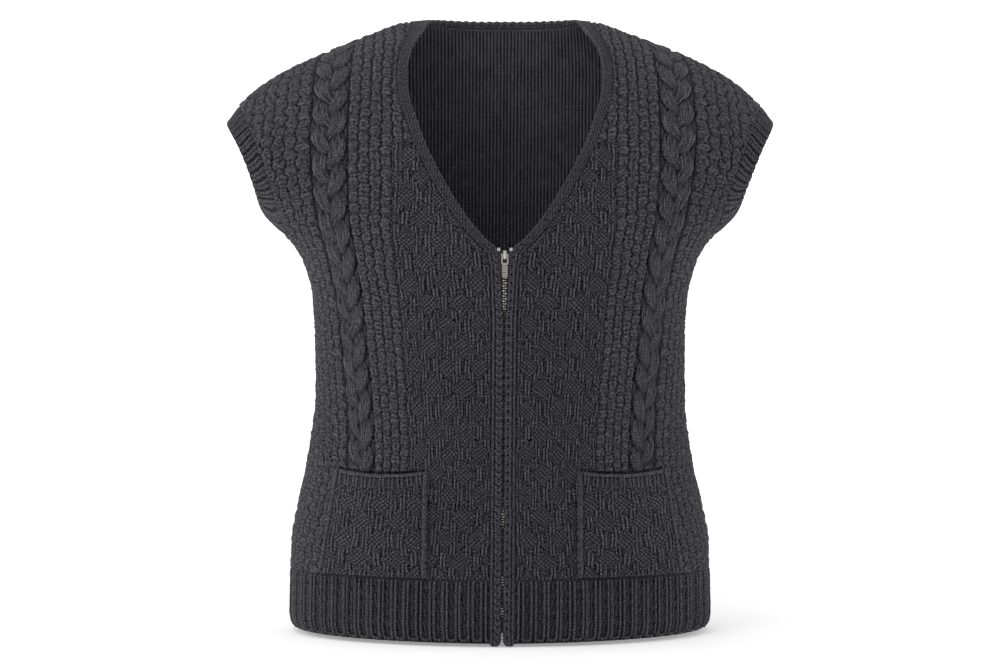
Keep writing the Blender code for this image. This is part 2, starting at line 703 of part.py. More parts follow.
def pull_outline():
    """Outline of the pull: a loop at the top, a short neck, then the narrower body."""
    loop = rounded(PULL_LOOP_HALF, PULL_LOOP_HALF, PIVOT_LEVEL + 0.0005, PULL_LOOP_BOTTOM, 0.0008)
    body = rounded(PULL_BODY_HALF, PULL_BODY_HALF, PULL_LOOP_BOTTOM - 0.0004, PULL_BOTTOM, 0.0012)
    neck = PULL_BODY_HALF - 0.0005
    upper = loop[: len(loop) // 2]
    lower_left = loop[len(loop) // 2: 3 * len(loop) // 4]
    lower_right = loop[3 * len(loop) // 4:]
    body_left = body[len(body) // 4: len(body) // 2] + body[len(body) // 2: 3 * len(body) // 4]
    body_right = body[3 * len(body) // 4:] + body[: len(body) // 4]
    left = [p for p in lower_left if p[0] < -neck]
    right = [p for p in lower_right if p[0] > neck]
    waist = PULL_LOOP_BOTTOM - 0.0002
    return upper + left + [(-neck, waist)] + body_left + body_right + [(neck, waist)] + right


def make_pull(surface):
    """The pull tab, hanging from a bar under the bridge. Its origin is on its hinge axis."""
    x, y = zip_origin(PIVOT_LEVEL)
    half = PULL_THICK / 2
    slot_bottom = PULL_LOOP_BOTTOM + 0.0014
    slot = rounded(PULL_SLOT_HALF, PULL_SLOT_HALF, PIVOT_LEVEL - 0.0005, slot_bottom, 0.0006)
    rings = [[(a, b - PIVOT_LEVEL) for a, b in ring] for ring in (pull_outline(), slot)]
    mesh_bm = bmesh.new()
    faces = [[[mesh_bm.verts.new((a, depth, b)) for a, b in ring] for ring in rings]
             for depth in (-half, half)]
    triangles = tessellate_polygon([[Vector((a, b, 0.0)) for a, b in ring] for ring in rings])
    for front_and_hole in faces:
        flat = front_and_hole[0] + front_and_hole[1]
        for triangle in triangles:
            mesh_bm.faces.new([flat[k] for k in triangle])
    for ring in (0, 1):
        front, back = faces[0][ring], faces[1][ring]
        for i in range(len(front)):
            k = (i + 1) % len(front)
            mesh_bm.faces.new((front[i], back[i], back[k], front[k]))
    pull = add_object("pull_tab", mesh_bm, surface)
    pull.location = (x, y - PIVOT_DEPTH, PIVOT_LEVEL)


def main():
    for old in list(bpy.data.objects):
        bpy.data.objects.remove(old)
    make_fronts(knit_material("front knit"))
    make_back(knit_material("back knit"))
    make_hem_ribs(knit_material("hem rib"))
    make_cuffs(knit_material("cuff rib"))
    make_front_bands(knit_material("front band"))
    make_nape_band(knit_material("nape band"))
    make_pockets(knit_material("pocket knit"))
    make_tapes(material("zip tape", (0.02, 0.02, 0.024), 0.85))
    make_chain(metal_material("zip chain"))
    make_stops(metal_material("zip stops"))
    make_slider(metal_material("zip slider"))
    make_pull(metal_material("pull tab"))


main()
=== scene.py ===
"""Zip-up knitted cardigan: the knitting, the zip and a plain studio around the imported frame.

Metres, +Z up, the front faces -Y, left and right are the wearer's (left is +X). The cloth is laid
over one skin, worked out from a table of level sections. A point of a panel is known by its knit
place, in millimetres: across, the way from the middle of the front along a course of stitches, and
along, the way up a column of stitches from the hem rib. Every stitch pattern is a function of
those two.
"""

import math
from typing import NamedTuple

import bmesh
import bpy
import numpy as np
from bpy.props import FloatProperty, FloatVectorProperty, IntProperty, PointerProperty
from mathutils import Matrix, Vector


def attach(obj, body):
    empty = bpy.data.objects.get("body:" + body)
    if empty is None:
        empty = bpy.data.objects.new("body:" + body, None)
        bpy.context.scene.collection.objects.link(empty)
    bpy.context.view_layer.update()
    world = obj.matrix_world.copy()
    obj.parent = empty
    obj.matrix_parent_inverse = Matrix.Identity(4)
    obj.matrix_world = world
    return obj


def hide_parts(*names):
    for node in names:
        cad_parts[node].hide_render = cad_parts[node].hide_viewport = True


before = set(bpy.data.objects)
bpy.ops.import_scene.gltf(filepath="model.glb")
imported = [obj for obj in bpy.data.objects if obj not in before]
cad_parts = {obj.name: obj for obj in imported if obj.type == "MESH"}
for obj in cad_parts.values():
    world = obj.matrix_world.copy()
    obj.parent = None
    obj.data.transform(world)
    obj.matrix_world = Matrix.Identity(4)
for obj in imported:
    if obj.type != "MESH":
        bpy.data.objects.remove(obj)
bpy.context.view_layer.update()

bl_info = {
    "name": "Zip-up Cardigan",
    "version": (1, 0, 0),
    "blender": (4, 5, 0),
    "location": "View3D > Sidebar > Cardigan",
    "description": "Knits a cabled zip-up cardigan over its packed frame, in a plain studio",
    "category": "Mesh",
}

BODY = "cardigan"
MM = 0.001

# ---------------------------------------------------------------- the garment's form

# Levels and places of the seams, in the front view
GAP = 0.0003                 # between any two pieces sewn together
HEM = -0.6600
HEM_SEAM = -0.5950
PANEL_FOOT = -0.5962         # the panels reach a little way under the hem rib
SEAM_UNDER = 0.0010          # and as far under the bands and cuffs
PANEL_HEAD = 0.0042          # where their last rows end, at the foot of the neck
NECK_TOP = 0.0055
CUFF_EDGE = ((0.2983, -0.112), (0.2633, -0.199))
CUFF_SEAM = ((0.2853, -0.088), (0.2340, -0.231))
CUFF_BOW = 0.0055            # hollow of the cuff's edge and seam
CUFF_SPAN = (-0.235, -0.080)    # levels within which both lie
SLEEVE_RISE = ((-0.20, -0.11), (36.0, 48.0))   # degrees by which the sleeve rises inwards, by level

# How the skin leans and stretches
NAPE_RISE = 0.42             # slope at which the back stands up to the nape
NAPE_ROUND = 0.020
NAPE_FADE = 0.150            # way down over which that fades out
HEM_BEND = -0.6400           # below which the hem draws in at the sides
HEM_TUCK = 0.0100
LEAN_HEM = 0.002             # how far the middle lies to the left, at the hem and at the neck
LEAN_NECK = 0.007
SEAM_LAP = 0.15              # of the side seams, as a share of their gap

# Bands
BAND_RISE = 0.0003           # of bands and cuffs above the panels
BAND_DROOP = 0.0025          # at the bands' lower ends
CLOSING = 0.0006             # by which the worn bands close over the teeth
CLOSED = (-0.312, -0.332)    # levels between which that sets in
GAPES = ((-0.530, 0.013), (-0.595, 0.006), (-0.627, 0.008), (-0.652, 0.006))   # where they part
GAPE = 0.0013                # how far, there and at the hem
FOOT_GAPE = 0.0022
PULL_SWEEP = (-0.288, -0.249)   # levels at which the band lies flat, under the slider and its pull
BESIDE_TEETH = (-0.262, -0.285)   # levels between which it goes over to its lie beside the teeth
ZIP_HEAD = (-0.245, -0.262)
VEE_FOOT = (-0.235, -0.255)
SCALLOPS = (0.00022, 0.0007)    # of the chain's links along its edge, in front and at the nape

# Pockets
POCKET_BOTTOM = -0.5922
POCKET_TOP = -0.4820
POCKET_SAG = 0.0045
POCKET_INNER = 0.0775
POCKET_OUTER = ((0.1745, -0.4820), (0.1930, -0.5922))
POCKET_WALL = 0.0027
POCKET_BULGE = 0.0024
POCKET_STEP = 1.15           # spacing of its points, in millimetres

# Zip
CHAIN_TOP = -0.2620
CHAIN_BOTTOM = -0.6480
CHAIN_DEPTH = 0.00445        # from the skin in to the middle of the zip's teeth
CHAIN_HALF = 0.0028
TOOTH_DEPTH = 0.00085
PLATE_SHADE = (-0.1526, -0.1508)   # depths between which painted shade darkens the slider, from its front back
PULL_GROOVES = (-0.2676, 0.0023)   # level below which the pull is grooved, and the grooves' pitch
BOX_GROOVES = (-0.6478, 0.0032)
CORD_DEPTHS = (0.0052, 0.0055)   # front and back of the tapes' woven cords
CHAIN_STATIONS = 120


class Cut(NamedTuple):
    """What a knitted piece measures flat, in metres, and how much more surface its stitches' relief
    gives it."""
    width: float
    length: float
    relief: float


FRONT_CUT = Cut(0.32, 0.66, 1.12)
BACK_CUT = Cut(0.64, 0.62, 1.05)
POCKET_CUT = Cut(0.118, 0.112, 1.15)
STRIP_RELIEF = 1.15          # of hem, cuffs and bands


class Section(NamedTuple):
    """A level cut through the skin: half an ellipse in front and half of another behind."""
    level: float
    half_width: float
    front_depth: float
    back_depth: float


SECTIONS = [Section(*row) for row in (
    # level, half_width, front_depth, back_depth
    (-0.660, 0.2310, 0.1470, 0.1220),
    (-0.595, 0.2296, 0.1470, 0.1205),
    (-0.560, 0.2275, 0.1450, 0.1175),
    (-0.522, 0.2200, 0.1410, 0.1110),
    (-0.483, 0.2120, 0.1375, 0.1040),
    (-0.447, 0.2060, 0.1345, 0.0980),
    (-0.411, 0.2019, 0.1330, 0.0940),
    (-0.345, 0.2012, 0.1380, 0.0940),
    (-0.318, 0.2025, 0.1430, 0.0965),
    (-0.295, 0.2050, 0.1470, 0.0985),
    (-0.275, 0.2098, 0.1495, 0.1005),
    (-0.258, 0.2155, 0.1502, 0.1020),
    (-0.243, 0.2238, 0.1500, 0.1030),
    (-0.231, 0.2340, 0.1495, 0.1040),
    (-0.221, 0.2457, 0.1485, 0.1045),
    (-0.210, 0.2563, 0.1470, 0.1050),
    (-0.199, 0.2645, 0.1450, 0.1050),
    (-0.185, 0.2795, 0.1420, 0.1050),
    (-0.168, 0.2995, 0.1380, 0.1050),
    (-0.150, 0.3115, 0.1330, 0.1040),
    (-0.130, 0.3135, 0.1270, 0.1025),
    (-0.111, 0.3015, 0.1210, 0.1000),
    (-0.099, 0.2930, 0.1160, 0.0980),
    (-0.088, 0.2845, 0.1115, 0.0960),
    (-0.072, 0.2670, 0.1030, 0.0925),
    (-0.055, 0.2430, 0.0920, 0.0870),
    (-0.038, 0.2100, 0.0785, 0.0805),
    (-0.024, 0.1757, 0.0650, 0.0730),
    (-0.011, 0.1427, 0.0470, 0.0640),
    (-0.002, 0.1225, 0.0330, 0.0540),
    (0.003, 0.1065, 0.0200, 0.0420),
    (0.0055, 0.0800, 0.0100, 0.0300),
)]


class Station(NamedTuple):
    """One place along a band, in the front view: its free edge and its seam."""
    edge_x: float
    edge_level: float
    seam_x: float
    seam_level: float


FRONT_BAND = [Station(*row) for row in (
    # edge_x, edge_level, seam_x, seam_level
    (0.0006, -0.6600, 0.0128, -0.6600),
    (0.0006, -0.5950, 0.0128, -0.5950),
    (0.0005, -0.3300, 0.0128, -0.3300),
    (0.0006, -0.3180, 0.0130, -0.3180),
    (0.0021, -0.3080, 0.0133, -0.3080),
    (0.0023, -0.2680, 0.0156, -0.2680),
    (0.0044, -0.2660, 0.0158, -0.2660),
    (0.0046, -0.2550, 0.0186, -0.2550),
    (0.0084, -0.2535, 0.0200, -0.2535),
    (0.0090, -0.2495, 0.0232, -0.2495),
    (0.0182, -0.2417, 0.0260, -0.2472),
    (0.0367, -0.2205, 0.0448, -0.2263),
    (0.0630, -0.1788, 0.0721, -0.1840),
    (0.0842, -0.1370, 0.0940, -0.1410),
    (0.0937, -0.1100, 0.1039, -0.1126),
    (0.1010, -0.0870, 0.1115, -0.0887),
    (0.1036, -0.0580, 0.1142, -0.0580),
    (0.0999, -0.0340, 0.1098, -0.0304),
    (0.0943, -0.0220, 0.1040, -0.0162),
    (0.0874, -0.0110, 0.1000, -0.0070),
    (0.0830, -0.0020, 0.0980, -0.0010),
    (0.0800, 0.0055, 0.1000, 0.0040),
)]

NAPE_BAND = [Station(*row) for row in (
    # edge_x, edge_level, seam_x, seam_level
    (0.0000, -0.0040, 0.0000, -0.0130),
    (0.0220, -0.0038, 0.0235, -0.0127),
    (0.0440, -0.0025, 0.0480, -0.0110),
    (0.0640, -0.0003, 0.0715, -0.0070),
    (0.0760, 0.0027, 0.0880, -0.0005),
    (0.0800, 0.0055, 0.1000, 0.0040),
)]

# Rows of the back beside the nape's seam
NAPE_LEVELS = (-0.0127, -0.0119, -0.0110, -0.0095, -0.0078, -0.0062, -0.0045, -0.0030, -0.0014,
               0.0000, 0.0014, 0.0026, 0.0037)


class Take(NamedTuple):
    """How wide a stitch is drawn at a level, where 1 is its width at the chest."""
    level: float
    width: float


STITCH_TAKE = [Take(*row) for row in (
    (-0.660, 0.960),
    (-0.595, 0.950),
    (-0.480, 0.840),
    (-0.400, 0.870),
    (-0.329, 0.920),
    (-0.230, 1.000),
    (0.0055, 1.000),
)]


def smooth(knots, values, at):
    """Monotone cubic through the knots, read at the given places."""
    knots = np.asarray(knots, float)
    values = np.asarray(values, float)
    step = np.diff(knots)
    slope = np.diff(values) / step
    before, after = slope[:-1], slope[1:]
    same_way = before * after > 0.0
    weight_1 = 2.0 * step[1:] + step[:-1]
    weight_2 = step[1:] + 2.0 * step[:-1]
    safe_before = np.where(same_way, before, 1.0)
    safe_after = np.where(same_way, after, 1.0)
    mean = (weight_1 + weight_2) / (weight_1 / safe_before + weight_2 / safe_after)
    tangent = np.concatenate(([slope[0]], np.where(same_way, mean, 0.0), [slope[-1]]))
    at = np.clip(np.asarray(at, float), knots[0], knots[-1])
    cell = np.clip(np.searchsorted(knots, at) - 1, 0, len(step) - 1)
    t = (at - knots[cell]) / step[cell]
    return (
        (2 * t**3 - 3 * t**2 + 1) * values[cell]
        + (t**3 - 2 * t**2 + t) * step[cell] * tangent[cell]
        + (3 * t**2 - 2 * t**3) * values[cell + 1]
        + (t**3 - t**2) * step[cell] * tangent[cell + 1]
    )


def column(table, name):
    return [getattr(row, name) for row in table]


def section(name, level):
    """One column of the section table at any level."""
    return smooth(column(SECTIONS, "level"), column(SECTIONS, name), level)


def half_sizes(face, level):
    """Half the width of the skin, and its depth in front or behind, at any level."""
    depth = "front_depth" if face < 0 else "back_depth"
    return section("half_width", level), section(depth, level)


def unit(vectors):
    return vectors / np.linalg.norm(vectors, axis=-1, keepdims=True)


def way_along(points):
    """Way to each point of a line from its first, in metres."""
    return np.concatenate(([0.0], np.cumsum(np.linalg.norm(np.diff(points, axis=0), axis=1))))


def skin(face, turn, level):
    """Points of the outer skin. face is -1 in front and 1 behind. turn is 0 in the middle and runs
    to a quarter turn at the left side seam, and to minus a quarter turn at the right one."""
    turn, level = np.broadcast_arrays(np.asarray(turn, float), np.asarray(level, float))
    half_width, depth = half_sizes(face, level)
    lean = LEAN_HEM + (LEAN_NECK - LEAN_HEM) * (level - HEM) / (NECK_TOP - HEM)
    below_bend = HEM_BEND - np.minimum(level, HEM_BEND)
    half_width = half_width - HEM_TUCK * (1.0 - dome(below_bend, HEM_BEND - HEM))
    x = half_width * np.sin(turn) + lean * np.cos(turn) ** 2
    apart = (0.5 + SEAM_LAP) * ramp(np.cos(turn), 0.0, 0.05) - SEAM_LAP
    y = face * (depth * np.cos(turn) + GAP * apart)
    behind = np.maximum(y, 0.0)
    fade = np.clip(1.0 + level / NAPE_FADE, 0.0, 1.0) ** 2
    z = level + NAPE_RISE * fade * behind**2 / (behind + NAPE_ROUND)
    return np.stack((x, y, z), axis=-1)


def skin_normal(face, turn, level):
    """Unit normals of the skin, pointing away from the wearer."""
    nudge = 1e-4
    edge = math.pi / 2 - nudge
    turn = np.clip(np.asarray(turn, float), -edge, edge)
    level = np.clip(np.asarray(level, float), HEM + nudge, NECK_TOP - nudge)
    across = skin(face, turn + nudge, level) - skin(face, turn - nudge, level)
    upwards = skin(face, turn, level + nudge) - skin(face, turn, level - nudge)
    return unit(np.cross(across, upwards) * -face)


def turn_at(x, level):
    """The turn at which the skin lies at half-distance x from the centre."""
    return np.arcsin(np.clip(np.asarray(x, float) / section("half_width", level), -1.0, 1.0))


def line_x(line, level, bow=0.0):
    """x of a sloping line, given by its top and bottom ends in the front view and hollowed by
    bow."""
    (top_x, top_level), (bottom_x, bottom_level) = line
    share = (level - bottom_level) / (top_level - bottom_level)
    hollow = 4.0 * bow * np.maximum(share * (1.0 - share), 0.0)
    return bottom_x + (top_x - bottom_x) * share - hollow


def side_turn(level):
    """Turn at which a panel ends at the side seam, the cuff or the shoulder seam."""
    cuff_x = line_x(CUFF_SEAM, level, CUFF_BOW) + SEAM_UNDER
    between = (level > CUFF_SEAM[1][1]) & (level < CUFF_SEAM[0][1])
    return np.where(between, turn_at(cuff_x, level), math.pi / 2)


def along_band(table, place):
    """Edge and seam of a band, at places counted in stations."""
    stations = np.arange(len(table))
    return [smooth(stations, np.array(table)[:, k], place) for k in range(4)]


def seam_turn(face, level):
    """Turn at which a panel ends at the front band or at the nape."""
    table = FRONT_BAND if face < 0 else NAPE_BAND
    fine = np.linspace(0, len(table) - 1, 30 * len(table))
    seam_x, seam_level = along_band(table, fine)[2:]
    x = np.interp(level, seam_level, seam_x)
    if face > 0:
        x = np.where(level < seam_level[0], 0.0, x)
    return turn_at(x, level)


# ---------------------------------------------------------------- knit patterns
# Places and heights in this section are in millimetres.

FIELD_START = 118.8       # outer border of the all-over pattern
CABLE_START = 165.5
CABLE_END = 208.5
RIB_WIDTH = 11.6          # bead columns between field and cable
SIDE_RIB_WIDTH = 14.2     # bead columns beyond the cable
BEAD_LENGTH = 13.4
COURSE = 4.5              # one row of the bead columns' thick stitches
FIELD_REPEAT = (37.5, 44.7)
FIELD_ORIGIN = 28.7       # from the middle of the front to the first lozenge of a row
FIELD_HEAD = -0.138       # level above which two more bead columns take the field's place
PLAIT_FADE = (-0.045, -0.015)   # levels between which the plait flattens towards the shoulder
POCKET_ORIGIN = 13.0
POCKET_REPEAT = (36.9, 39.0)
PLAIT_LENGTH = 91.0       # one strand's way from side to side and back
PLAIT_SWING = 10.6
PLAIT_HALF = 9.2          # half the width of one strand
PLY = 3.4                 # spacing of the slanting strands on a thick stitch
BACK_RIB = 3.95
HEM_RIB = 13.5
CUFF_RIB = 12.6
CUFF_WIDTH = 21.0
BAND_LINK = 9.0
POCKET_SIZE = (108.0, 112.0)
POCKET_RIB = (10.2, 15.0)       # pitch and depth of the rib at the pocket's mouth
ROLL_WIDTH = (6.0, 4.4)         # of the pocket's rolled edges, towards the zip and towards the side

# Heights of the stitches' crowns above the cloth, and depths of the gaps between them
BEAD_CROWN = 1.6
BEAD_SLOT = 2.3
PLAIT_CROWN = 2.0
PLAIT_GROOVE = 0.60             # between the yarns of one strand
PLAIT_GAPS = (2.4, 0.9)         # beside the plait, towards the zip and towards the side
LOOP_CROWN = 1.5
LOOP_SLIT = 1.4
KNOB_CROWN = 0.95
LOZENGE_STRIPES = (0.34, 0.22)  # of its two slants
BACK_CROWN = 0.60
HEM_CROWN = 1.5
HEM_GAP = 1.6
CUFF_CROWN = 1.05
CUFF_GAP = 1.5
CHAIN_CROWN = 1.25
WELT_CROWN = 1.1
ZIP_GAP = 2.1                   # beside the teeth
LIP_CROWN = 1.3                 # of the pocket's mouth
ROLL_CROWNS = (1.6, 1.2)

# How far the panels' columns and rows of points run before they are cut out, and their spacing
FRONT_COLUMNS = (9.0, 345.0)
FRONT_ROWS = (0.0, 690.0)
LINING_COLUMNS = (4.0, 350.0, 6.0)    # of a front's plain inside
LINING_ROWS = (0.0, 690.0, 7.0)
BACK_COLUMNS = (0.0, 335.0, BACK_RIB / 4)
BACK_STEPS = (0.0062, 0.0100)         # between rows outside and inside, in metres
STRIP_STEP = 1.1                      # across hem, cuffs and bands, and along the bands
BAND_STEP = 0.85
HEM_STEP = 1.2                        # round the hem
HEM_FINE = (9.0, 3.0)                 # depth of the hem's closely spaced foot, and spacing above it
CUFF_STEP = 1.0
LINING_STEP = 5.0                     # across the plain inside of a strip


class Knit(NamedTuple):
    """Height of the knitting above the skin, and the strands drawn on it: their phase, in strands,
    how strong they are, and the phase of fainter strands that cross them."""
    height: np.ndarray
    phase: np.ndarray
    depth: np.ndarray
    cross: np.ndarray


def soft_noise(u, v, size, seed):
    """Smooth noise from -1 to 1 over a plane, with features of the given size. Each use has a seed
    of its own, so that no two uses rise and fall together."""
    cells = np.random.default_rng(seed).uniform(-1.0, 1.0, (64, 64))
    x, y = np.asarray(u) / size + 7.0, np.asarray(v) / size + 7.0
    i, j = np.floor(x).astype(int), np.floor(y).astype(int)
    s, t = x - i, y - j
    s, t = s * s * (3 - 2 * s), t * t * (3 - 2 * t)
    i, j, i1, j1 = i % 64, j % 64, (i + 1) % 64, (j + 1) % 64
    low = cells[i, j] * (1 - s) + cells[i1, j] * s
    high = cells[i, j1] * (1 - s) + cells[i1, j1] * s
    return low * (1 - t) + high * t


def ramp(x, start, end):
    """0 before start, 1 after end, smooth between."""
    t = np.clip((x - start) / (end - start), 0.0, 1.0)
    return t * t * (3 - 2 * t)


def notch(x, width):
    """1 in the middle of a narrow gap, 0 away from it."""
    return np.exp(-((x / width) ** 2))


def dome(x, half):
    """Rounded ridge of height 1 and the given half width."""
    return np.sqrt(np.clip(1.0 - (x / half) ** 2, 0.0, 1.0))


def from_nearest(x, step, start=0.0):
    """Signed way to the nearest line of an evenly spaced set, and that line's number."""
    number = np.round((x - start) / step)
    return x - start - number * step, number


def bead_columns(across, along, start, width, break_up=0.0):
    """Columns of plump stacked stitches, every other one half a stitch higher, so that the slotted
    gap between two columns winds. break_up makes the columns wander as well."""
    waver = 0.8 * soft_noise(across, along, 4.0, 33)
    waver = waver + break_up * np.sin(2 * math.pi * along / 17.5 + across / 9.0)
    placed = across + waver - start - width / 2
    number = np.round(placed / width)
    off = placed - number * width
    swell = 0.7 * np.cos(2 * math.pi * (along / BEAD_LENGTH + 0.5 * number))
    over = np.abs(off) > width / 2 + swell
    number = number + np.where(over, np.sign(off), 0.0)
    off = off - np.where(over, np.sign(off) * width, 0.0)
    half = width / 2 + np.where(over, -swell, swell)
    side = np.abs(off) / half
    from_side = half - np.abs(off)
    rise = along + 2.6 * side**2 + 0.5 * BEAD_LENGTH * (number % 2)
    rise = rise + 2.2 * soft_noise(number * 40.0, along, 19.0, 31)
    bead, _ = from_nearest(rise, BEAD_LENGTH)
    joint = ramp(np.abs(bead) / (BEAD_LENGTH / 2), 0.40, 0.90)
    body = BEAD_CROWN * np.sqrt(np.clip(1.0 - side**3, 0.0, 1.0)) * (1.0 - 0.20 * joint)
    slot = 0.5 + 0.5 * np.cos(2 * math.pi * (along + 0.9 * off + 1.3 * number) / COURSE)
    slot = np.clip(slot + 0.35 * soft_noise(across, along, 7.0, 48), 0.0, 1.0) ** 1.5
    dip = notch(from_side, 0.9 + 0.9 * slot) * (0.15 + BEAD_SLOT * slot)
    course, _ = from_nearest(rise, BEAD_LENGTH / 3)
    arcs = notch(course, 0.95) * (0.25 + 0.75 * joint)
    grain = 0.75 * soft_noise(across, along, 2.3, 39) - 0.55 * arcs
    height = body - 0.5 - dip + grain
    depth = 0.55 + 0.55 * joint * (1.0 - 0.5 * side**4)
    return Knit(height, 3 * rise / BEAD_LENGTH, depth, np.sign(off) * off**2 / 9.0 + along / 3.1)


def plait(across, along):
    """Three strands plaited, lying proud beside a deep gap."""
    centre = (CABLE_START + CABLE_END) / 2
    height = np.full(np.shape(across), -1.2)
    phase = np.zeros(np.shape(across))
    depth = np.full(np.shape(across), 0.2)
    grain = np.zeros(np.shape(across))
    for strand in range(3):
        angle = 2 * math.pi * (along / PLAIT_LENGTH + strand / 3)
        middle = centre + PLAIT_SWING * (np.sin(angle) + 0.10 * np.sin(3 * angle))
        slope = PLAIT_SWING * 2 * math.pi / PLAIT_LENGTH
        slope = slope * (np.cos(angle) + 0.30 * np.cos(3 * angle))
        half = PLAIT_HALF * (0.68 + 0.34 * np.sin(angle) ** 2) * np.sqrt(1.0 + 0.5 * slope**2)
        place = (across - middle) / half
        over = 1.4 * np.sin(2 * angle - 0.15)
        top = over - 0.6 + PLAIT_CROWN * dome(across - middle, half) ** 0.75
        groove, _ = from_nearest(place + 0.05 * soft_noise(across, along, 8.0, 49), 0.38, 0.19)
        top = top - PLAIT_GROOVE * notch(groove, 0.085)
        top = np.where(np.abs(place) < 1.0, top, -9.0)
        here = top > height
        height = np.where(here, top, height)
        phase = np.where(here, place / 0.38 + 0.5, phase)
        streak = soft_noise(place * PLAIT_HALF, along * 0.35 + 40.0 * strand, 2.4, 41)
        grain = np.where(here, streak, grain)
        depth = np.where(here, 0.7 + 0.3 * np.abs(place) ** 2, depth)
    beside = 0.6 + 0.5 * soft_noise(across, along, 9.0, 50)
    height = height - PLAIT_GAPS[0] * beside * notch(across - CABLE_START, 1.7)
    height = height - PLAIT_GAPS[1] * beside * notch(CABLE_END - across, 1.3)
    return Knit(height + 0.85 * grain, phase, depth, 0.5 * grain)


def long_loop(off, up, half):
    """One long upright stitch: two legs with a slit between them and shadow on each side. Gives its
    height and, from 0 to 1, how far it fills the place."""
    reach = dome(up, half) ** 0.6
    legs = dome(np.abs(off) - 1.8, 1.5) * reach
    slit = notch(off, 0.7) + 0.8 * notch(np.abs(off) - 3.8, 0.8)
    return LOOP_CROWN * legs - LOOP_SLIT * slit * reach, np.where(np.abs(off) < 4.2, reach, 0.0)


def all_over(across, along, repeat, origin):
    """Slant-stitched lozenges set half-drop, with long upright loops between them."""
    width, length = repeat
    lozenge = np.full(np.shape(across), -1.0)
    loops = np.zeros(np.shape(across))
    filled = np.zeros(np.shape(across))
    for drop in (0, 1):
        dx, _ = from_nearest(across, width, origin + drop * width / 2)
        dy, _ = from_nearest(along, length, drop * length / 2)
        reach = np.abs(dx / (0.345 * width)) ** 1.3 + np.abs(dy / (0.26 * length)) ** 1.3
        lozenge = np.maximum(lozenge, 1.0 - reach)
        bx, _ = from_nearest(across, width, origin + (1 - drop) * width / 2)
        short_y, _ = from_nearest(along, length / 2, length / 4)
        stitches = [(dx - side * 0.25 * width, short_y, 4.9) for side in (-1, 1)]
        stitches += [(bx, dy, 7.4)] if drop else [(bx - side * 4.9, dy, 6.8) for side in (-1, 1)]
        for off, up, half in stitches:
            height, fill = long_loop(off, up, half)
            loops = np.where(fill > filled, height, loops)
            filled = np.maximum(filled, fill)
    inside = ramp(lozenge, 0.0, 0.30)
    filled = ramp(filled, 0.1, 0.5) * (1 - inside)
    knob_x, number = from_nearest(across, 4.3)
    knob_y, _ = from_nearest(along + 1.9 * (number % 2), 3.8)
    knobs = KNOB_CROWN * np.cos(knob_x * 2 * math.pi / 4.3) * np.cos(knob_y * 2 * math.pi / 3.8)
    knobs = knobs + 0.8 * soft_noise(across, along, 3.1, 35)
    slant = (0.62 * across + 0.78 * along) / 3.45
    back_slant = (0.70 * across - 0.71 * along) / 3.45
    stripes = (LOZENGE_STRIPES[0] * np.cos(2 * math.pi * slant)
               + LOZENGE_STRIPES[1] * np.cos(2 * math.pi * back_slant))
    loops = loops * (0.95 + 0.55 * soft_noise(across, along, 8.0, 42))
    height = knobs * (1 - inside) * (1 - filled) + (0.25 + stripes) * inside + loops * filled - 0.35
    phase = np.where(inside > 0.4, slant, along / 3.8)
    depth = np.maximum(inside, 0.25)
    cross = np.where(inside > 0.4, back_slant, along / 5.1)
    return Knit(height, phase, depth, cross)


def pick(mask, one, other):
    """One knit where mask is set, another elsewhere."""
    return Knit(*(np.where(mask, a, b) for a, b in zip(one, other)))


def wandering(across, along):
    """Knit places shifted a little, as hand-fed yarn is never quite even."""
    moved_across = across + 1.0 * soft_noise(across, along, 38.0, 3)
    moved_across = moved_across + 1.0 * soft_noise(across, along, 11.0, 36)
    moved_along = along + 1.6 * soft_noise(across, along, 31.0, 4)
    moved_along = moved_along + 1.3 * soft_noise(across, along, 9.0, 37)
    return moved_across, moved_along


def front_knit(across, along, level):
    """The whole front: field, bead columns, plait and side columns."""
    across, along = wandering(across, along)
    field = all_over(across, along, FIELD_REPEAT, FIELD_ORIGIN)
    inner = bead_columns(across, along, FIELD_START, RIB_WIDTH)
    outer = bead_columns(across, along, CABLE_END, SIDE_RIB_WIDTH, 1.5)
    cable = plait(across, along)
    cable = cable._replace(height=cable.height * (1.0 - 0.45 * ramp(level, *PLAIT_FADE)))
    columns_from = FIELD_START - 2 * RIB_WIDTH * (level > FIELD_HEAD)
    made = pick(across < columns_from, field, inner)
    made = pick(across > CABLE_START, cable, made)
    made = pick(across > CABLE_END, outer, made)
    loose = 1.0 + 0.22 * soft_noise(across, along, 17.0, 5)
    return made._replace(height=made.height * loose + 0.22 * soft_noise(across, along, 3.3, 6))


def back_knit(across, along):
    """Fine upright rib, with the stitches' chevrons on it."""
    off, number = from_nearest(across + 0.3 * soft_noise(across, along, 40.0, 8), BACK_RIB)
    height = (BACK_CROWN + 0.12 * (number % 2)) * np.cos(off * 2 * math.pi / BACK_RIB)
    height = height + 0.22 * soft_noise(across, along, 9.0, 9)
    phase = (along + 1.0 * np.abs(off)) / 3.4
    return Knit(height, phase, 0.45 * (np.abs(off) < 0.3 * BACK_RIB) + 0.10, off / 2.5)


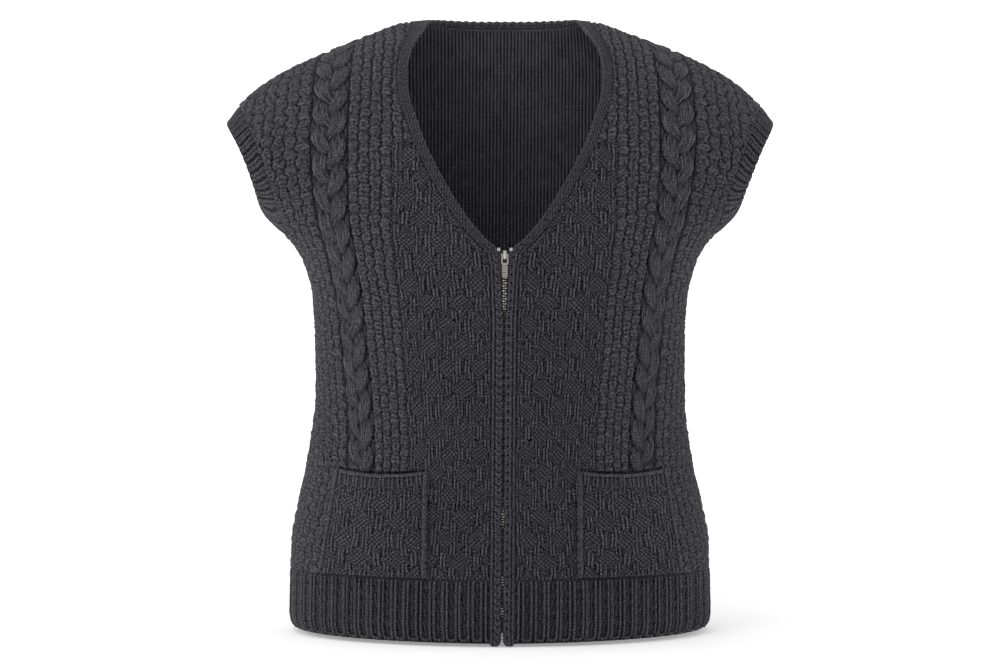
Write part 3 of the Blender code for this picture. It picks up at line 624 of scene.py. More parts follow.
def hem_knit(across, along):
    """Two by two rib. Its two edge columns stand up bright beside a shaded middle, and turn into
    each other at the hem's edge."""
    off, _ = from_nearest(across + 0.6 * soft_noise(across, along, 45.0, 11), HEM_RIB)
    bend = along - 3.2 - 0.10 * np.abs(off) ** 2
    edges = dome(np.abs(off) - 4.7, 1.5) * ramp(along, 3.6, 5.0)
    turned = dome(bend, 1.5) * (np.abs(off) < 5.6)
    height = HEM_CROWN * np.maximum(edges, turned) - 0.7
    height = height - HEM_GAP * notch(HEM_RIB / 2 - np.abs(off), 1.0)
    stitch, _ = from_nearest(along + 0.9 * off, 3.7)
    height = height + 0.30 * soft_noise(across, along, 2.9, 12)
    height = height - 0.45 * notch(stitch, 0.8) * (np.abs(off) < 3.0)
    phase = (along + 0.9 * off) / 3.7
    return Knit(height, phase, 0.25 + 0.75 * (np.abs(off) < 3.2), off / 2.6)


def cuff_knit(across, along):
    """Two by two rib that runs out to the sleeve's edge."""
    off, _ = from_nearest(across + 0.4 * soft_noise(across, along, 30.0, 14), CUFF_RIB)
    height = CUFF_CROWN * dome(np.abs(off) - 2.5, 2.5) - 0.3
    height = height - CUFF_GAP * notch(CUFF_RIB / 2 - np.abs(off), 2.1) - 0.5 * notch(off, 0.8)
    height = height + 0.25 * soft_noise(across, along, 3.0, 15)
    phase = (along + 0.9 * np.abs(off)) / 3.5
    return Knit(height, phase, 0.35 + 0.2 * (height > 0), off / 2.4)


class Chain(NamedTuple):
    """How a band's chain is drawn: depth of the hole in each link, depth and spacing of the strokes
    that slant in to its middle."""
    hole: float
    stroke: float
    spacing: float


CHAINS = {
    "band_right": Chain(0.4, 1.0, 7.3),
    "band_left": Chain(2.1, 0.35, BAND_LINK),
    "band_back_neck": Chain(1.7, 0.35, BAND_LINK),
}


def band_knit(share, along, width, drawn):
    """A broad chain beside the edge, drawn as given, and a thin welt next to the seam."""
    across = share * width
    chain_off = across - 0.35 * width
    link, _ = from_nearest(along + 0.25 * np.abs(chain_off), BAND_LINK)
    chain = CHAIN_CROWN * dome(chain_off, 0.35 * width) ** 0.7
    chain = chain - drawn.hole * notch(link, 1.7) * notch(chain_off, 1.0)
    uneven = 0.6 * soft_noise(across, along, 7.0, 53)
    vee, _ = from_nearest(along - 1.1 * np.abs(chain_off) + uneven, drawn.spacing, 0.5 * BAND_LINK)
    chain = chain - drawn.stroke * notch(vee, 0.9)
    welt_middle = (0.85 + 0.02 * soft_noise(along, along, 6.0, 44)) * width
    welt = WELT_CROWN * dome(across - welt_middle, 0.125 * width)
    welt = welt * (0.85 + 0.35 * soft_noise(along, across, 5.0, 43))
    height = np.maximum(chain, welt) - 0.55 - 0.6 * notch(across - 0.715 * width, 0.8)
    height = height + 0.35 * soft_noise(across, along, 2.6, 18)
    phase = (along - 1.1 * np.abs(chain_off)) / 3.0
    cross = np.broadcast_to(chain_off / 3.4, height.shape)
    return Knit(height, phase, np.full(height.shape, 0.45), cross)


# ---------------------------------------------------------------- laying cloth

class Lay(NamedTuple):
    """Places on the skin, row by row up a panel, with their knit places."""
    turn: np.ndarray
    level: np.ndarray
    across: np.ndarray
    along: np.ndarray


def lay_fabric(face, columns, rows):
    """Finds, on the skin, the places of knit columns and rows, both given in millimetres."""
    levels = np.linspace(PANEL_FOOT, NECK_TOP - 1e-5, 800)
    turn_of, up = grown(face, columns, levels)
    level = np.stack([np.interp(rows, up[:, i], levels) for i in range(len(columns))], axis=1)
    turn = np.stack([np.interp(rows, up[:, i], turn_of[:, i]) for i in range(len(columns))], axis=1)
    across, along = np.meshgrid(columns, rows)
    return Lay(turn, level, across, along)


def arc_share(face, levels, turns):
    """Way round the skin from the middle of a face, in stitch millimetres, at each level and
    turn."""
    half_width, depth = half_sizes(face, levels)
    speed = np.hypot(half_width[:, None] * np.cos(turns), depth[:, None] * np.sin(turns))
    pieces = 0.5 * (speed[:, 1:] + speed[:, :-1]) * (turns[1] - turns[0])
    arc = np.concatenate((np.zeros((len(levels), 1)), np.cumsum(pieces, axis=1)), axis=1) / MM
    take = smooth(column(STITCH_TAKE, "level"), column(STITCH_TAKE, "width"), levels)
    return arc / take[:, None]


def grown(face, columns, levels):
    """Turn of each knit column at each level, and the way up it in millimetres."""
    turns = np.linspace(0.0, math.pi / 2, 181)
    arc = arc_share(face, levels, turns)
    turn = np.array([np.interp(columns, arc[k], turns) for k in range(len(levels))])
    points = skin(face, turn, levels[:, None])
    steps = np.linalg.norm(np.diff(points, axis=0), axis=-1) / MM
    return turn, np.vstack((np.zeros(len(columns)), np.cumsum(steps, axis=0)))


def lay_levels(face, columns, levels):
    """Places of knit columns at given levels."""
    turn, along = grown(face, columns, levels)
    across, level = np.meshgrid(columns, levels)
    return Lay(turn, level, across, along)


class Trimmed(NamedTuple):
    """A lay cut to its panel: its points, the lattice point that each came from, its faces and its
    border."""
    turn: np.ndarray
    level: np.ndarray
    source: np.ndarray
    faces: list
    border: list


def cut_out(lay, low_turn, high_turn):
    """Cuts a lay along the panel's two long edges. Each row ends exactly on them."""
    past_low = lay.turn - low_turn(lay.level)
    past_high = high_turn(lay.level) - lay.turn
    inside = (past_low > 0.0) & (past_high > 0.0) & (lay.level < PANEL_HEAD)
    columns = lay.turn.shape[1]
    turns, levels, sources, ids = [], [], [], []
    lefts, rights = [], []
    count = 0
    for j in range(lay.turn.shape[0]):
        found = longest_run(inside[j])
        if len(found) < 2:
            break
        first, last = found[0], found[-1]
        turn, level = lay.turn[j].copy(), lay.level[j].copy()
        a = cross_over(turn, level, past_low[j], first, first - 1)
        b = cross_over(turn, level, past_high[j], last, last + 1)
        turns.append(turn[a:b + 1])
        levels.append(level[a:b + 1])
        sources.append(j * columns + np.arange(a, b + 1))
        ids.append(count + np.clip(np.arange(columns), a, b) - a)
        lefts.append(count)
        rights.append(count + b - a)
        count += b - a + 1
    ids = np.array(ids)
    corners = np.stack((ids[:-1, :-1], ids[:-1, 1:], ids[1:, 1:], ids[1:, :-1]), axis=-1)
    corners = corners.reshape(-1, 4)
    low_same = corners[:, 0] == corners[:, 1]
    high_same = corners[:, 2] == corners[:, 3]
    faces = [corners[~low_same & ~high_same],
             corners[low_same & ~high_same][:, [0, 2, 3]],
             corners[~low_same & high_same][:, :3]]
    bottom = list(range(lefts[0], rights[0] + 1))
    top = list(range(lefts[-1], rights[-1] + 1))
    border = bottom + rights[1:-1] + top[::-1] + lefts[-2:0:-1]
    return Trimmed(*(np.concatenate(rows) for rows in (turns, levels, sources)), faces, border)


def longest_run(flags):
    """Numbers of the longest unbroken run of set flags."""
    runs = np.split(np.arange(len(flags)), np.flatnonzero(np.diff(flags.astype(int))) + 1)
    return max((run for run in runs if flags[run[0]]), key=len, default=[])


def cross_over(turn, level, past, inner, outer):
    """Puts a row's end on the panel's edge, between its last point inside and the next one out.
    Returns the number of the point that it moved."""
    if outer < 0 or outer >= len(turn) or past[outer] > 0.0 or level[outer] > PANEL_HEAD:
        return inner
    share = past[inner] / max(past[inner] - past[outer], 1e-12)
    place = turn[inner] + (turn[outer] - turn[inner]) * share
    height = level[inner] + (level[outer] - level[inner]) * share
    moved = outer if share > 0.35 else inner
    turn[moved], level[moved] = place, height
    return moved


def spread(values, cells):
    """Mean of a lattice's values over a square of cells each way."""
    for axis in (0, 1):
        total = np.zeros_like(values)
        numbers = np.arange(values.shape[axis])
        for step in range(-cells, cells + 1):
            total = total + np.take(values, np.clip(numbers + step, 0, numbers[-1]), axis=axis)
        values = total / (2 * cells + 1)
    return values


def hollowness(height, cells=2):
    """0 in the bottom of the gaps between stitches, 1 on the stitches' crowns: the mask for the
    painted shade in the gaps and the painted highlight on the crowns.
    """
    near, far = height - spread(height, 1), height - spread(height, cells)
    return np.clip(0.48 + near / 2.6 + far / 2.8 + height / 18.0, 0.0, 1.0)


class Cloth:
    """Points, faces and knit values of a piece of cloth while it is put together."""
    # The first value is painted light: painted shade in the gaps between stitches and a painted
    # highlight on their crowns, which the knit's material reads.
    LABELS = ("crown", "ply", "ply_depth", "cross", "across", "along")

    def __init__(self):
        self.points, self.faces, self.values = [], [], []
        self.count = 0

    def add(self, points, faces, values):
        """Adds points with their faces and returns the number of the first point."""
        start = self.count
        self.points.append(points.reshape(-1, 3))
        columns = [np.broadcast_to(value, points.shape[:-1]).ravel() for value in values]
        self.values.append(np.stack(columns, axis=1))
        self.faces.extend(f + start for f in faces)
        self.count += len(self.points[-1])
        return start

    def all_points(self):
        return np.concatenate(self.points)

    def sew(self, first, second):
        """Joins two closed borders with a strip of triangles, always over the shorter way."""
        points = self.all_points()
        second = nearest_start(points, first, second)
        i = j = 0
        triangles = []
        while i < len(first) or j < len(second):
            a, b = first[i % len(first)], second[j % len(second)]
            next_a, next_b = first[(i + 1) % len(first)], second[(j + 1) % len(second)]
            take_a = j >= len(second) or (i < len(first) and np.sum(
                (points[next_a] - points[b]) ** 2) < np.sum((points[a] - points[next_b]) ** 2))
            if take_a:
                triangles.append((a, next_a, b))
                i += 1
            else:
                triangles.append((a, next_b, b))
                j += 1
        self.faces.append(np.array(triangles))

    def build(self, name, material, merge=False):
        """Makes the object, with outward faces and smooth shading."""
        points = self.all_points()
        sizes = np.concatenate([np.full(len(f), f.shape[1]) for f in self.faces if len(f)])
        corners = np.concatenate([f.ravel() for f in self.faces if len(f)])
        mesh = bpy.data.meshes.new(name)
        mesh.vertices.add(len(points))
        mesh.vertices.foreach_set("co", points.ravel())
        mesh.loops.add(len(corners))
        mesh.loops.foreach_set("vertex_index", corners.astype(np.int32))
        mesh.polygons.add(len(sizes))
        starts = np.concatenate(([0], np.cumsum(sizes)[:-1]))
        mesh.polygons.foreach_set("loop_start", starts.astype(np.int32))
        values = np.concatenate(self.values)
        for k, label in enumerate(self.LABELS):
            layer = mesh.attributes.new(label, "FLOAT", "POINT")
            layer.data.foreach_set("value", values[:, k].astype(np.float32))
        mesh.update(calc_edges=True)
        mesh.validate()
        work = bmesh.new()
        work.from_mesh(mesh)
        if merge:
            bmesh.ops.remove_doubles(work, verts=work.verts, dist=1e-6)
        bmesh.ops.recalc_face_normals(work, faces=work.faces)
        if work.calc_volume(signed=True) < 0.0:
            bmesh.ops.reverse_faces(work, faces=work.faces)
        work.to_mesh(mesh)
        work.free()
        mesh.shade_smooth()
        mesh.materials.append(material)
        return put(name, mesh)


def put(name, data):
    """Makes an object of a mesh, curve, lamp or camera and links it to the scene."""
    made = bpy.data.objects.new(name, data)
    bpy.context.scene.collection.objects.link(made)
    return made


def nearest_start(points, first, second):
    """Turns the second border so that it starts beside the first one's start and runs the same
    way."""
    second = list(second)
    nearest = int(np.argmin(np.sum((points[second] - points[first[0]]) ** 2, axis=1)))
    second = second[nearest:] + second[:nearest]
    ahead = points[first[len(first) // 12]]
    forward = points[second[len(second) // 12]]
    backward = points[second[-(len(second) // 12)]]
    if np.sum((backward - ahead) ** 2) < np.sum((forward - ahead) ** 2):
        second = [second[0]] + second[:0:-1]
    return second


def grid_faces(rows, columns, ring_rows=False, ring_columns=False):
    """Quads of a grid of points, closed round either way."""
    i = np.arange(rows if ring_rows else rows - 1)
    j = np.arange(columns if ring_columns else columns - 1)
    i, j = np.meshgrid(i, j, indexing="ij")
    i1, j1 = (i + 1) % rows, (j + 1) % columns
    return np.stack((i * columns + j, i * columns + j1, i1 * columns + j1, i1 * columns + j),
                    axis=-1).reshape(-1, 4)


def drape(x, z):
    """Soft unevenness of the hanging cloth, in metres."""
    return MM * (1.1 * soft_noise(x, z, 0.085, 21) + 0.7 * soft_noise(x, z, 0.040, 22))


def layer(lay, low_turn, high_turn, face, side, offset, knit=None, seam_tuck=1.2):
    """One layer of a panel. knit gives heights and values on the lay; without it the layer is
    plain."""
    cut = cut_out(lay, low_turn, high_turn)
    source = cut.source
    turn = cut.turn * side
    normal = skin_normal(face, turn, cut.level)
    point = skin(face, turn, cut.level)
    lift = np.full(len(source), offset)
    place = (lay.across.ravel()[source], lay.along.ravel()[source])
    values = (0.4, 0.0, 0.0, 0.0, *place)
    if knit is not None:
        crown = hollowness(knit.height).ravel()[source]
        height = knit.height.ravel()[source]
        from_edge = edge_distance(cut, low_turn, high_turn, face)
        near = ramp(from_edge, 0.0, 4.5)
        height = height * near - seam_tuck * (1.0 - near)
        lift = lift + height * MM + drape(point[:, 0], point[:, 2]) * near
        # Painted shade: the stitches are drawn darker towards the panel's edges, where it tucks
        # under its seams
        crown = crown * (0.35 + 0.65 * near)
        values = (crown, *(v.ravel()[source] for v in knit[1:]), *place)
    return point + normal * lift[:, None], cut, values


def edge_distance(cut, low_turn, high_turn, face):
    """Way in millimetres from each point to the panel's nearest edge."""
    half_width, depth = half_sizes(face, cut.level)
    speed = np.hypot(half_width * np.cos(cut.turn), depth * np.sin(cut.turn)) / MM
    low = (cut.turn - low_turn(cut.level)) * speed
    high = (high_turn(cut.level) - cut.turn) * speed
    low = np.where(low_turn(cut.level) <= 0.0, 99.0, low)
    return np.minimum(np.minimum(low, high), (cut.level - PANEL_FOOT) / MM)


# ---------------------------------------------------------------- settings

class ClothSettings(bpy.types.PropertyGroup):
    """Sizes and colours of the knitting."""
    wall: FloatProperty(name="Wall", description="Thickness of a knitted panel without its relief",
                        default=0.003, min=0.001, max=0.006, unit="LENGTH")
    stitch_across: FloatProperty(name="Front mesh across", default=0.00128, min=0.0008, max=0.01,
                                 description="Spacing of the front's points along a course",
                                 unit="LENGTH")
    stitch_along: FloatProperty(name="Front mesh along", default=0.00134, min=0.0008, max=0.01,
                                description="Spacing of the front's points up a column",
                                unit="LENGTH")
    yarn: FloatVectorProperty(name="Yarn", description="Colour of the yarn's lit side",
                              default=(0.0370, 0.0353, 0.0433), min=0.0, max=1.0, size=3,
                              subtype="COLOR")
    rib_yarn: FloatVectorProperty(name="Rib yarn",
                                  description="Colour of the tighter rib and bands",
                                  default=(0.0352, 0.0337, 0.0412), min=0.0, max=1.0, size=3,
                                  subtype="COLOR")
    tape: FloatVectorProperty(name="Zip tape", description="Colour of the woven zip tape",
                              default=(0.018, 0.018, 0.021), min=0.0, max=1.0, size=3,
                              subtype="COLOR")


class ZipSettings(bpy.types.PropertyGroup):
    """Sizes and finish of the zip."""
    pitch: FloatProperty(name="Tooth pitch", description="Spacing of the teeth on one tape",
                         default=0.0054, min=0.001, max=0.01, unit="LENGTH")
    tooth: FloatProperty(name="Tooth width", description="Length of a tooth across the chain",
                         default=0.0042, min=0.001, max=0.01, unit="LENGTH")
    metal: FloatVectorProperty(name="Metal", description="Colour of the teeth and fittings",
                               default=(0.46, 0.445, 0.42), min=0.0, max=1.0, size=3,
                               subtype="COLOR")
    looseness: FloatProperty(name="Looseness",
                             description="Most that a tooth is turned askew, both ways",
                             default=0.10, min=0.0, max=0.5, subtype="ANGLE")
    seed: IntProperty(name="Seed", description="Seed of the teeth's small irregularities",
                      default=5, min=0)


class StageSettings(bpy.types.PropertyGroup):
    """Camera and light."""
    distance: FloatProperty(name="Camera distance", description="From the camera to the garment",
                            default=2.5, min=0.5, max=10.0, unit="LENGTH")
    eye: FloatProperty(name="Camera height", description="Level of the camera and of its aim",
                       default=-0.341, min=-2.0, max=2.0, unit="LENGTH")
    lens: FloatProperty(name="Focal length", description="In millimetres", default=81.2, min=10.0,
                        max=300.0, unit="CAMERA")
    floor: FloatProperty(name="Floor level", description="The plain floor below the hem",
                         default=-0.6634, min=-2.0, max=0.0, unit="LENGTH")


# ---------------------------------------------------------------- materials

class Nodes:
    """Short-hand for building a material's node tree."""

    def __init__(self, name):
        self.material = bpy.data.materials.new(name)
        self.material.use_nodes = True
        self.tree = self.material.node_tree
        self.shader = self.tree.nodes["Principled BSDF"]

    def new(self, kind, **settings):
        """A new node with its settings."""
        node = self.tree.nodes.new(kind)
        for key, value in settings.items():
            setattr(node, key, value)
        return node

    def link(self, out_socket, in_socket):
        self.tree.links.new(out_socket, in_socket)

    def math(self, operation, *values):
        node = self.new("ShaderNodeMath", operation=operation)
        for socket, value in zip(node.inputs, values):
            if isinstance(value, (int, float)):
                socket.default_value = value
            else:
                self.link(value, socket)
        return node.outputs[0]

    def attribute(self, name):
        return self.new("ShaderNodeAttribute", attribute_name=name).outputs["Fac"]

    def noise(self, scale, detail, roughness):
        node = self.new("ShaderNodeTexNoise")
        for key, value in (("Scale", scale), ("Detail", detail), ("Roughness", roughness)):
            node.inputs[key].default_value = value
        self.link(self.new("ShaderNodeTexCoord").outputs["Object"], node.inputs["Vector"])
        return node.outputs["Fac"]

    def wave(self, phase):
        """Sine of a phase given in whole turns."""
        return self.math("SINE", self.math("MULTIPLY", phase, 2 * math.pi))

    def loops(self, width, length):
        """1 on small upright loops of yarn, 0 in the shadows between them, in knit millimetres."""
        place = self.new("ShaderNodeCombineXYZ")
        self.link(self.math("DIVIDE", self.attribute("across"), width), place.inputs["X"])
        self.link(self.math("DIVIDE", self.attribute("along"), length), place.inputs["Y"])
        cells = self.new("ShaderNodeTexVoronoi", feature="DISTANCE_TO_EDGE",
                         voronoi_dimensions="2D")
        cells.inputs["Scale"].default_value = 1.0
        cells.inputs["Randomness"].default_value = 0.8
        self.link(place.outputs[0], cells.inputs["Vector"])
        return self.spread(cells.outputs["Distance"], 0.02, 0.24, 0.0, 1.0)

    def spread(self, value, low, high, to_low, to_high):
        node = self.new("ShaderNodeMapRange")
        self.link(value, node.inputs["Value"])
        for key, number in (("From Min", low), ("From Max", high), ("To Min", to_low),
                            ("To Max", to_high)):
            node.inputs[key].default_value = number
        return node.outputs["Result"]

    def times(self, shade, value, low, high, to_low, to_high):
        """A shade multiplied by a value that is spread between two factors."""
        return self.math("MULTIPLY", shade, self.spread(value, low, high, to_low, to_high))

    def place(self):
        """Place on the object, axis by axis."""
        node = self.new("ShaderNodeSeparateXYZ")
        self.link(self.new("ShaderNodeTexCoord").outputs["Object"], node.inputs[0])
        return node.outputs

    def tint(self, color, factor):
        """A colour made lighter or darker by a factor."""
        node = self.new("ShaderNodeVectorMath", operation="SCALE")
        node.inputs[0].default_value = color
        self.link(factor, node.inputs["Scale"])
        return node.outputs["Vector"]

    def bump(self, height, distance, strength=1.0, onto=None):
        node = self.new("ShaderNodeBump")
        node.inputs["Strength"].default_value = strength
        node.inputs["Distance"].default_value = distance
        self.link(height, node.inputs["Height"])
        if onto is not None:
            self.link(onto, node.inputs["Normal"])
        return node.outputs["Normal"]

    def set(self, **values):
        for key, value in values.items():
            self.shader.inputs[key.replace("_", " ")].default_value = value


def knit_material(name, color, gap_painted_shade=0.05, crown_painted_light=1.84, ply_tone=0.42, loop_tone=0.33):
    """Wool-blend yarn. Painted shade darkens the gaps between stitches and a painted highlight
    lightens their crowns, strands show on the stitches, small loops stand out from their painted
    shadows, and lighter fibres run through it all."""
    n = Nodes(name)
    crown = n.attribute("crown")
    depth = n.attribute("ply_depth")
    wander = n.math("MULTIPLY", n.noise(170.0, 2.0, 0.5), 0.9)
    ply = n.wave(n.math("ADD", n.attribute("ply"), wander))
    cross = n.wave(n.math("ADD", n.attribute("cross"), wander))
    strands = n.math("MULTIPLY", n.math("ADD", ply, n.math("MULTIPLY", cross, 0.55)), depth)
    loops = n.loops(2.7, 3.1)
    # Painted shade in the gaps between stitches, painted highlight on their crowns
    shade = n.spread(crown, 0.10, 0.85, gap_painted_shade, crown_painted_light)
    shade = n.times(shade, strands, -1.0, 1.0, 1.0 - ply_tone, 1.0 + ply_tone)
    # Painted shadows round the small loops, and a little painted highlight on them
    shade = n.times(shade, loops, 0.0, 1.0, 1.0 - loop_tone * 1.4, 1.0 + loop_tone * 0.7)
    fibres = n.noise(950.0, 3.0, 0.65)
    shade = n.times(shade, fibres, 0.25, 0.75, 0.60, 1.40)
    flecks = n.noise(400.0, 2.0, 0.6)
    shade = n.times(shade, flecks, 0.3, 0.7, 0.74, 1.26)
    patches = n.noise(14.0, 2.0, 0.5)
    shade = n.times(shade, patches, 0.3, 0.7, 0.95, 1.05)
    n.link(n.tint(color, shade), n.shader.inputs["Base Color"])
    fuzz = n.bump(fibres, 0.0008, 0.5)
    knobs = n.bump(loops, 0.0007, 0.8, fuzz)
    n.link(n.bump(strands, 0.0006, 0.8, knobs), n.shader.inputs["Normal"])
    n.set(Roughness=0.92, Sheen_Weight=0.16, Sheen_Roughness=0.35, Specular_IOR_Level=0.05)
    return n.material


def tape_material(name, color):
    """Woven herringbone tape."""
    n = Nodes(name)
    place = n.place()
    zigzag = n.math("PINGPONG", place["X"], 0.0018)
    weave = n.math("SINE", n.math("MULTIPLY", n.math("ADD", place["Z"], zigzag), 7200.0))
    shade = n.spread(weave, -1.0, 1.0, 0.65, 1.35)
    n.link(n.tint(color, shade), n.shader.inputs["Base Color"])
    n.link(n.bump(weave, 0.0003, 0.6), n.shader.inputs["Normal"])
    n.set(Roughness=0.8, Sheen_Weight=0.15)
    return n.material


def metal_material(name, color, roughness, painted_shade_depths=None, grooved=None, meshed=False):
    """Nickel-toned metal with fine scratches. painted_shade_depths: depths between which painted
    shade darkens it, from its front back. grooved: level below which it has cross grooves, and
    their pitch; with it the whole metal is drawn darker, and painted shade darkens the grooves.
    meshed: painted shade along the middle of the front, where the teeth of both tapes meet, with
    the metal beside it drawn lighter."""
    n = Nodes(name)
    place = n.place()
    grime = n.noise(700.0, 3.0, 0.6)
    scratches = n.noise(2600.0, 2.0, 0.7)
    shade = n.spread(grime, 0.3, 0.7, 0.82, 1.08)
    bumps = n.bump(scratches, 0.00006, 0.4)
    if painted_shade_depths:
        # Painted shade: darker from its front back, over the given depths
        shade = n.times(shade, place["Y"], *painted_shade_depths, 1.0, 0.06)
    if meshed:
        slope = (LEAN_NECK - LEAN_HEM) / (NECK_TOP - HEM)
        middle = n.math("MULTIPLY", n.math("SUBTRACT", place["Z"], HEM - LEAN_HEM / slope), slope)
        off = n.math("ABSOLUTE", n.math("SUBTRACT", place["X"], middle))
        # Painted shade along the middle, where the teeth of both tapes meet, and the metal beside
        # it drawn lighter
        shade = n.times(shade, off, 0.0002, 0.0009, 0.30, 1.30)
    if grooved:
        level, pitch = grooved
        groove = n.spread(n.wave(n.math("DIVIDE", place["Z"], pitch)), 0.1, 0.7, 0.0, 1.0)
        groove = n.times(groove, place["Z"], level - 0.0004, level, 1.0, 0.0)
        # Painted shade in the grooves; the rest of the metal is drawn darker too
        shade = n.times(shade, groove, 0.0, 1.0, 0.74, 0.18)
        bumps = n.bump(n.spread(groove, 0.0, 1.0, 1.0, 0.0), 0.0003, 0.6, bumps)
    n.link(n.tint(color, shade), n.shader.inputs["Base Color"])
    n.link(n.spread(grime, 0.3, 0.7, roughness + 0.12, roughness - 0.05),
           n.shader.inputs["Roughness"])
    n.link(bumps, n.shader.inputs["Normal"])
    n.set(Metallic=1.0)
    return n.material


def plain_material(name, color):
    """Matt paper of the studio, which glows with painted light, a little more away from the
    garment.
    """
    n = Nodes(name)
    away = n.new("ShaderNodeVectorMath", operation="LENGTH")
    n.link(n.new("ShaderNodeTexCoord").outputs["Object"], away.inputs[0])
    # Painted light: the paper glows, more strongly away from the garment
    n.link(n.spread(away.outputs["Value"], 1.2, 4.0, 0.29, 0.68),
           n.shader.inputs["Emission Strength"])
    grain = n.noise(60.0, 2.0, 0.5)
    n.link(n.tint(color, n.spread(grain, 0.3, 0.7, 0.995, 1.005)), n.shader.inputs["Base Color"])
    n.set(Roughness=0.95, Specular_IOR_Level=0.1, Emission_Color=(1.0, 1.0, 1.0, 1.0))
    return n.material


# ---------------------------------------------------------------- pieces

def sheet_area(made):
    """Half the surface of a closed piece of cloth."""
    areas = np.empty(len(made.data.polygons))
    made.data.polygons.foreach_get("area", areas)
    return float(areas.sum()) / 2.0


def declare(made, node, cut):
    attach(made, BODY)
    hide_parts(node)
    area = min(sheet_area(made) / cut.relief, cut.width * cut.length)


class CARDIGAN_OT_fronts(bpy.types.Operator):
    """Knit both fronts: field, bead columns and plait"""
    bl_idname = "cardigan.fronts"
    bl_label = "Fronts"

    def execute(self, context):
        cloth = context.scene.cardigan_cloth
        material = knit_material("front knit", cloth.yarn)
        lay = lay_fabric(-1, np.arange(*FRONT_COLUMNS, cloth.stitch_across / MM),
                         np.arange(*FRONT_ROWS, cloth.stitch_along / MM))
        inner_lay = lay_fabric(-1, np.arange(*LINING_COLUMNS), np.arange(*LINING_ROWS))
        knit = front_knit(lay.across, lay.along, lay.level)
        under = under_pocket(lay)
        height = knit.height * (1 - 0.75 * under) - 0.6 * under - mouth_trough(lay)
        knit = knit._replace(height=height)
        layers = ((lay, 0.0, knit), (inner_lay, -cloth.wall, None))
        for side, name in ((-1, "front_right"), (1, "front_left")):
            piece = Cloth()
            borders = []
            for place, *looks in layers:
                points, cut, values = layer(place, front_edge, side_turn, -1, side, *looks)
                start = piece.add(points, cut.faces, values)
                borders.append([k + start for k in cut.border])
            piece.sew(*borders)
            made = piece.build(name + "_knit", material)
            declare(made, name, FRONT_CUT)
        return {"FINISHED"}


def front_edge(level):
    """Turn of the front panel's edge beside its band."""
    return seam_turn(-1, level) - SEAM_UNDER / section("half_width", level)


def nape_edge(level):
    """Turn of the back panel's edge below the nape band; none below that."""
    return seam_turn(1, level)


def front_x(lay):
    """Distance of a lay's points from the garment's middle line, in the front view."""
    return section("half_width", lay.level) * np.sin(lay.turn)


def under_pocket(lay):
    """1 where a pocket lies over the front, fading out at the pocket's border."""
    x = front_x(lay)
    from_inner = (x - POCKET_INNER) / MM
    from_outer = (line_x(POCKET_OUTER, lay.level) - x) / MM
    from_top = (POCKET_TOP - POCKET_SAG - lay.level) / MM
    near = np.minimum(np.minimum(from_inner, from_outer), from_top)
    return ramp(near, 0.0, 6.0)


def mouth_trough(lay):
    """Depth in millimetres of the trough that the pocket's mouth presses into the front above
    it."""
    x = front_x(lay)
    inside = (x > POCKET_INNER + 0.004) & (x < line_x(POCKET_OUTER, POCKET_TOP) - 0.002)
    share = (x - POCKET_INNER) / (POCKET_OUTER[0][0] - POCKET_INNER)
    mouth = POCKET_TOP - POCKET_SAG * np.sin(math.pi * np.clip(share, 0.0, 1.0))
    return 2.4 * inside * notch((lay.level - mouth) / MM - 1.2, 2.2)


def back_levels(step):
    """Rows of the back: evenly spaced, and closer along the nape seam, whose lowest row is one."""
    low = NAPE_BAND[0].seam_level
    count = round((low - PANEL_FOOT) / step)
    return np.concatenate((np.linspace(PANEL_FOOT, low, count), NAPE_LEVELS))


class CARDIGAN_OT_back(bpy.types.Operator):
    """Knit the back: fine rib outside, and its reverse inside"""
    bl_idname = "cardigan.back"
    bl_label = "Back"

    def execute(self, context):
        cloth = context.scene.cardigan_cloth
        # Painted light: lighter painted shade in the gaps and a stronger painted highlight on the
        # crowns than on the fronts
        material = knit_material("back knit", cloth.yarn, 0.14, 2.9, 0.25, 0.12)
        outer_lay, inner_lay = (lay_levels(1, np.arange(*BACK_COLUMNS), back_levels(step))
                                for step in BACK_STEPS)
        outer_knit = back_knit(outer_lay.across, outer_lay.along)
        inner_knit = back_knit(inner_lay.across, inner_lay.along)
        inner_knit = inner_knit._replace(height=-inner_knit.height)
        piece = Cloth()
        borders = []
        for lay, knit, offset in ((outer_lay, outer_knit, 0.0),
                                  (inner_lay, inner_knit, -cloth.wall)):
            halves = []
            for side in (1, -1):
                points, cut, values = layer(lay, nape_edge, side_turn, 1, side, offset, knit, 0.6)
                # The inside's painted shading is turned over
                if offset < 0:
                    values = (1.0 - values[0], *values[1:])
                start = piece.add(points, cut.faces, values)
                halves.append(open_border(cut, start))
            borders.append(halves[0] + halves[1][::-1][1:-1])
        piece.sew(*borders)
        made = piece.build("back_knit", material, merge=True)
        declare(made, "back", BACK_CUT)
        return {"FINISHED"}


def open_border(cut, start):
    """Border of the left half from the middle's foot round to the middle's top, both ends
    included."""
    border = np.array(cut.border)
    in_middle = cut.turn[border] < 1e-9
    first = next(k for k in range(len(border)) if in_middle[k - 1] and not in_middle[k])
    turned = np.roll(border, -first)
    outside = turned[:int(np.sum(~in_middle))]
    return [border[first - 1] + start, *(outside + start), turned[len(outside)] + start]


# ---------------------------------------------------------------- strips: ribs, cuffs and bands

def strip_shares(width, step):
    """Shares of a strip's width, in millimetres, at which its points lie: close at both edges."""
    edge = np.array([0.0, 0.10, 0.35, 0.75, 1.3])
    middle = np.linspace(edge[-1], width - edge[-1], max(round((width - 2.6) / step), 2) + 1)[1:-1]
    return np.concatenate((edge, middle, width - edge[::-1])) / width


def edge_round(from_edge, wall):
    """How far a rounded edge draws a wall's face in, in metres, at a way in millimetres from it."""
    radius = wall / 2
    place = np.clip(1.0 - from_edge * MM / radius, 0.0, 1.0)
    return radius * (1.0 - np.sqrt(1.0 - place**2))


def edge_ease(from_edge):
    """Stitches lose their height towards a strip's edges."""
    return ramp(from_edge, -0.9, 2.0)


